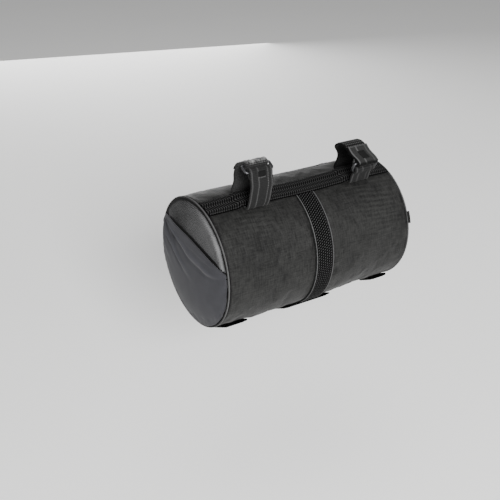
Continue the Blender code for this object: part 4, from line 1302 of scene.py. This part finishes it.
# %% The tab
TAB_THICKNESS, TAB_PROUD, TAB_FOLD, TAB_WIDTH = 1 * MM, 1.6 * MM, 0.7 * MM, 15 * MM
TAB_SEWN = 1 * MM  # how far its ends go into the seam
TAB_ANGLE = 162
root = PIPING_RADIUS + TAB_THICKNESS / 2
turn = np.radians(np.linspace(-90, 90, 17))
straight = TAB_PROUD - TAB_FOLD
way_out, way_back = np.linspace(0.2, 0.8, 3) * straight, np.linspace(0.8, 0.2, 3) * straight
out_line = np.array([-TAB_SEWN, *way_out, *(straight + TAB_FOLD * np.cos(turn)), *way_back, -TAB_SEWN]) + root
aside = np.array([*[-TAB_FOLD] * 4, *(TAB_FOLD * np.sin(turn)), *[TAB_FOLD] * 4])
tab_path = np.sqrt(0.5) * np.column_stack([out_line + aside, out_line - aside]) + np.array([RIM_X, PIPING_RING])
tab_step = np.concatenate([[0], np.cumsum(np.linalg.norm(np.diff(tab_path, axis=0), axis=1))])
tab_way = np.gradient(tab_path, tab_step, axis=0)
tab_way = tab_way / np.linalg.norm(tab_way, axis=1)[:, None]


def on_tab(along, across, height):
    """The tab: its path is in x and radius, and across goes round the rim."""
    at = [np.interp(along, tab_step, tab_path[:, k]) for k in (0, 1)]
    way = [np.interp(along, tab_step, tab_way[:, k]) for k in (0, 1)]
    radius = at[1] - way[0] * height
    side = direction(TAB_ANGLE + np.degrees(across / BARREL_RADIUS)) * radius[..., None]
    return np.concatenate([(at[0] + way[1] * height)[..., None], BAG_MIDDLE + side], -1)


mesh = strip_mesh("tab_tape", np.arange(0, tab_step[-1], 0.3 * MM), TAB_WIDTH, TAB_THICKNESS, on_tab, 14)
add_piece(mesh, GROSGRAIN, "webbing", "side_tab_right")

# %% [markdown]
# ## Patches and lines of thread on the straps
#
# Each strap carries a small plain patch. The left one is on the webbing under the ring, with a pale bar tack
# below it. The right one is on the strap's loose end, which is closed by a row of stitches across it. Pale lines
# of stitching run along both, and each is stated by its place across the strap. The patches are plain-woven and
# dyed black, so that they are the darkest places on the straps.

# %% Patches and strap stitches
PATCH = plain_weave("plain patch", "#040404", "#161616", 0.8, 0.4, sheen=0.0)
PATCH_WIDTH, PATCH_THICKNESS, PATCH_RISE = 10 * MM, 0.8 * MM, 0.55 * MM
LEFT_PATCH, RIGHT_PATCH = 146, 164  # degrees round the bar
TACK_STEP = 2.4  # millimetres
for name, middle_x, ring, loose_end, leaves, lean in STRAPS:
    # at is the patch's place along the strip, facing its side, and half half its length. tack_at is the bar
    # tack's place from there, spread how far it goes each way across, in millimetres, and run is where the
    # stitches start and stop. lines holds their places across, in millimetres.
    if name == "left":
        place, length = line_on(loop_line(middle_x, ring, leaves), middle_x)
        wire_at = np.radians(LOOP_UNDERLAP) * INNER_LAYER + np.pi * FOLD_RADIUS
        at = wire_at + np.radians(LEFT_PATCH - ring - RING_HALF_ANGLE) * OUTER_LAYER + 1 * MM
        facing, half, tack_at, spread = 1, 2.75 * MM, 4 * MM, 3.6
        lines, run = (-13, -4.4, 8, 13), (8 * MM, length - 12 * MM)
    else:
        place, length = line_on(strap_line(middle_x, ring, loose_end), middle_x, lean)
        at = length - np.radians(RIGHT_PATCH - loose_end) * OUTER_LAYER
        facing, half, tack_at, spread = -1, 6 * MM, length - 1.5 * MM - at, 12
        lines, run = (-13.2, -3.6), (length - 22 * MM, length - 3 * MM)

    def on_face(along, across, height, place=place, at=at, facing=facing):
        return place(at + along, across, facing * (STRAP_THICKNESS / 2 + PATCH_RISE + height))

    along = np.arange(-half, half + 0.1 * MM, 0.5 * MM)
    mesh = strip_mesh("patch_cloth_" + name, along, PATCH_WIDTH, PATCH_THICKNESS, on_face, 10)
    add_piece(mesh, PATCH, "patch", "strap_patch_" + name)
    tacks = tack_at + np.linspace(-0.4, 0.4, 2) * MM
    grids = [stitch_grids(on_face, tacks, offset * MM, -0.3 * MM, 2.4 * MM, 0.5 * MM, crosswise=True)
             for offset in np.arange(-spread, spread + 0.1, TACK_STEP)]
    rows = stitch_places(*run, 2.8 * MM) - at
    grids += [stitch_grids(on_face, rows, line * MM, -0.35 * MM, 2.2 * MM, 0.45 * MM) for line in lines]
    add_stitches("strap_stitches_" + name, grids, "strap", PALE_THREAD)

# %% [markdown]
# ## The camera
#
# The camera stands where the photograph's did, behind the bag's left end and looking down on it. Its place and
# lens were found by fitting lines that were read from the photograph.

# %% Camera
AZIMUTH, ELEVATION, ROLL = np.radians([32.41, 26.50, 0.17])
forward = np.array([np.sin(AZIMUTH) * np.cos(ELEVATION), np.cos(AZIMUTH) * np.cos(ELEVATION), -np.sin(ELEVATION)])
level = np.array([np.cos(AZIMUTH), -np.sin(AZIMUTH), 0])
upward = np.cross(level, forward)
right = np.cos(ROLL) * level + np.sin(ROLL) * upward
top = -np.sin(ROLL) * level + np.cos(ROLL) * upward
CAMERA_PLACE = (-0.5411, -0.7346, 0.3435)
camera_data = bpy.data.cameras.new("camera")
camera_data.lens = 59.06
camera_data.sensor_width = 36
camera = bpy.data.objects.new("camera", camera_data)
bpy.context.scene.collection.objects.link(camera)
rows = [(right[k], top[k], -forward[k], CAMERA_PLACE[k]) for k in range(3)]
camera.matrix_world = Matrix(rows + [(0, 0, 0, 1)])
bpy.context.scene.camera = camera
print("the camera looks along", forward.round(3))

# %% [markdown]
# ## Floor and light
#
# The floor is plain and pale. One soft light behind the bag on its left does most of the work: it models the
# round end and brings out the weave. Weak ones on the left, above and on the right soften the shadows, and a low
# one ahead of the bag keeps its far side and its underside from going black.

# %% Floor
FLOOR_Z = -0.42
FLOOR_HALF = 6
corners = [(x * FLOOR_HALF, y * FLOOR_HALF, FLOOR_Z) for x, y in ((-1, -1), (1, -1), (1, 1), (-1, 1))]
floor_mesh = bpy.data.meshes.new("floor")
floor_mesh.from_pydata(corners, [], [(0, 1, 2, 3)])
floor = bpy.data.objects.new("floor", floor_mesh)
bpy.context.scene.collection.objects.link(floor)
floor_paint, floor_tree, floor_shader = new_finish("pale floor paint", Roughness=0.9)
floor_place = add_node(floor_tree, "ShaderNodeTexCoord").outputs["Object"]
floor_grain = add_node(floor_tree, "ShaderNodeTexNoise", {"Vector": floor_place, "Scale": 2.0}).outputs["Fac"]
floor_colour = add_node(floor_tree, "ShaderNodeMix", {"Factor": floor_grain, 6: linear("#f9f9f8"),
                        7: linear("#fdfdfc")}, data_type="RGBA")
floor_tree.links.new(floor_colour.outputs[2], floor_shader.inputs["Base Color"])
floor_mesh.materials.append(floor_paint)
print("the floor is", round(-FLOOR_Z / MM), "mm below the bar")


# %% Lights
def soft_light(name, place, size, power):
    """A square area light that faces the bag."""
    data = bpy.data.lights.new(name, "AREA")
    data.energy = power
    data.size = size
    light = bpy.data.objects.new(name, data)
    bpy.context.scene.collection.objects.link(light)
    aim = np.array([0, BAG_MIDDLE[0], BAG_MIDDLE[1]]) - np.array(place)
    light.matrix_world = Matrix.Translation(place) @ Vector(aim).to_track_quat("-Z", "Y").to_matrix().to_4x4()
    return light


# Columns: name, place in metres, size in metres, power in watts.
LIGHTS = (
    ("light_rear_left", (-0.75, -2.2, 1.0), 0.8, 125),
    ("light_left", (-2.0, 0.2, 0.6), 1.2, 7),
    ("light_above", (0.2, 0.2, 2.2), 1.6, 12),
    ("light_right", (1.9, -0.6, 0.5), 1.4, 12),
    ("light_front", (0.6, 2.3, 0.2), 1.6, 30),
)
ROOM_LIGHT = 0.36
for light_row in LIGHTS:
    soft_light(*light_row)
world = bpy.data.worlds.new("studio")
world.use_nodes = True
world.node_tree.nodes["Background"].inputs["Color"].default_value = linear("#ffffff")
world.node_tree.nodes["Background"].inputs["Strength"].default_value = ROOM_LIGHT
bpy.context.scene.world = world
print("lights:", len(bpy.data.lights))
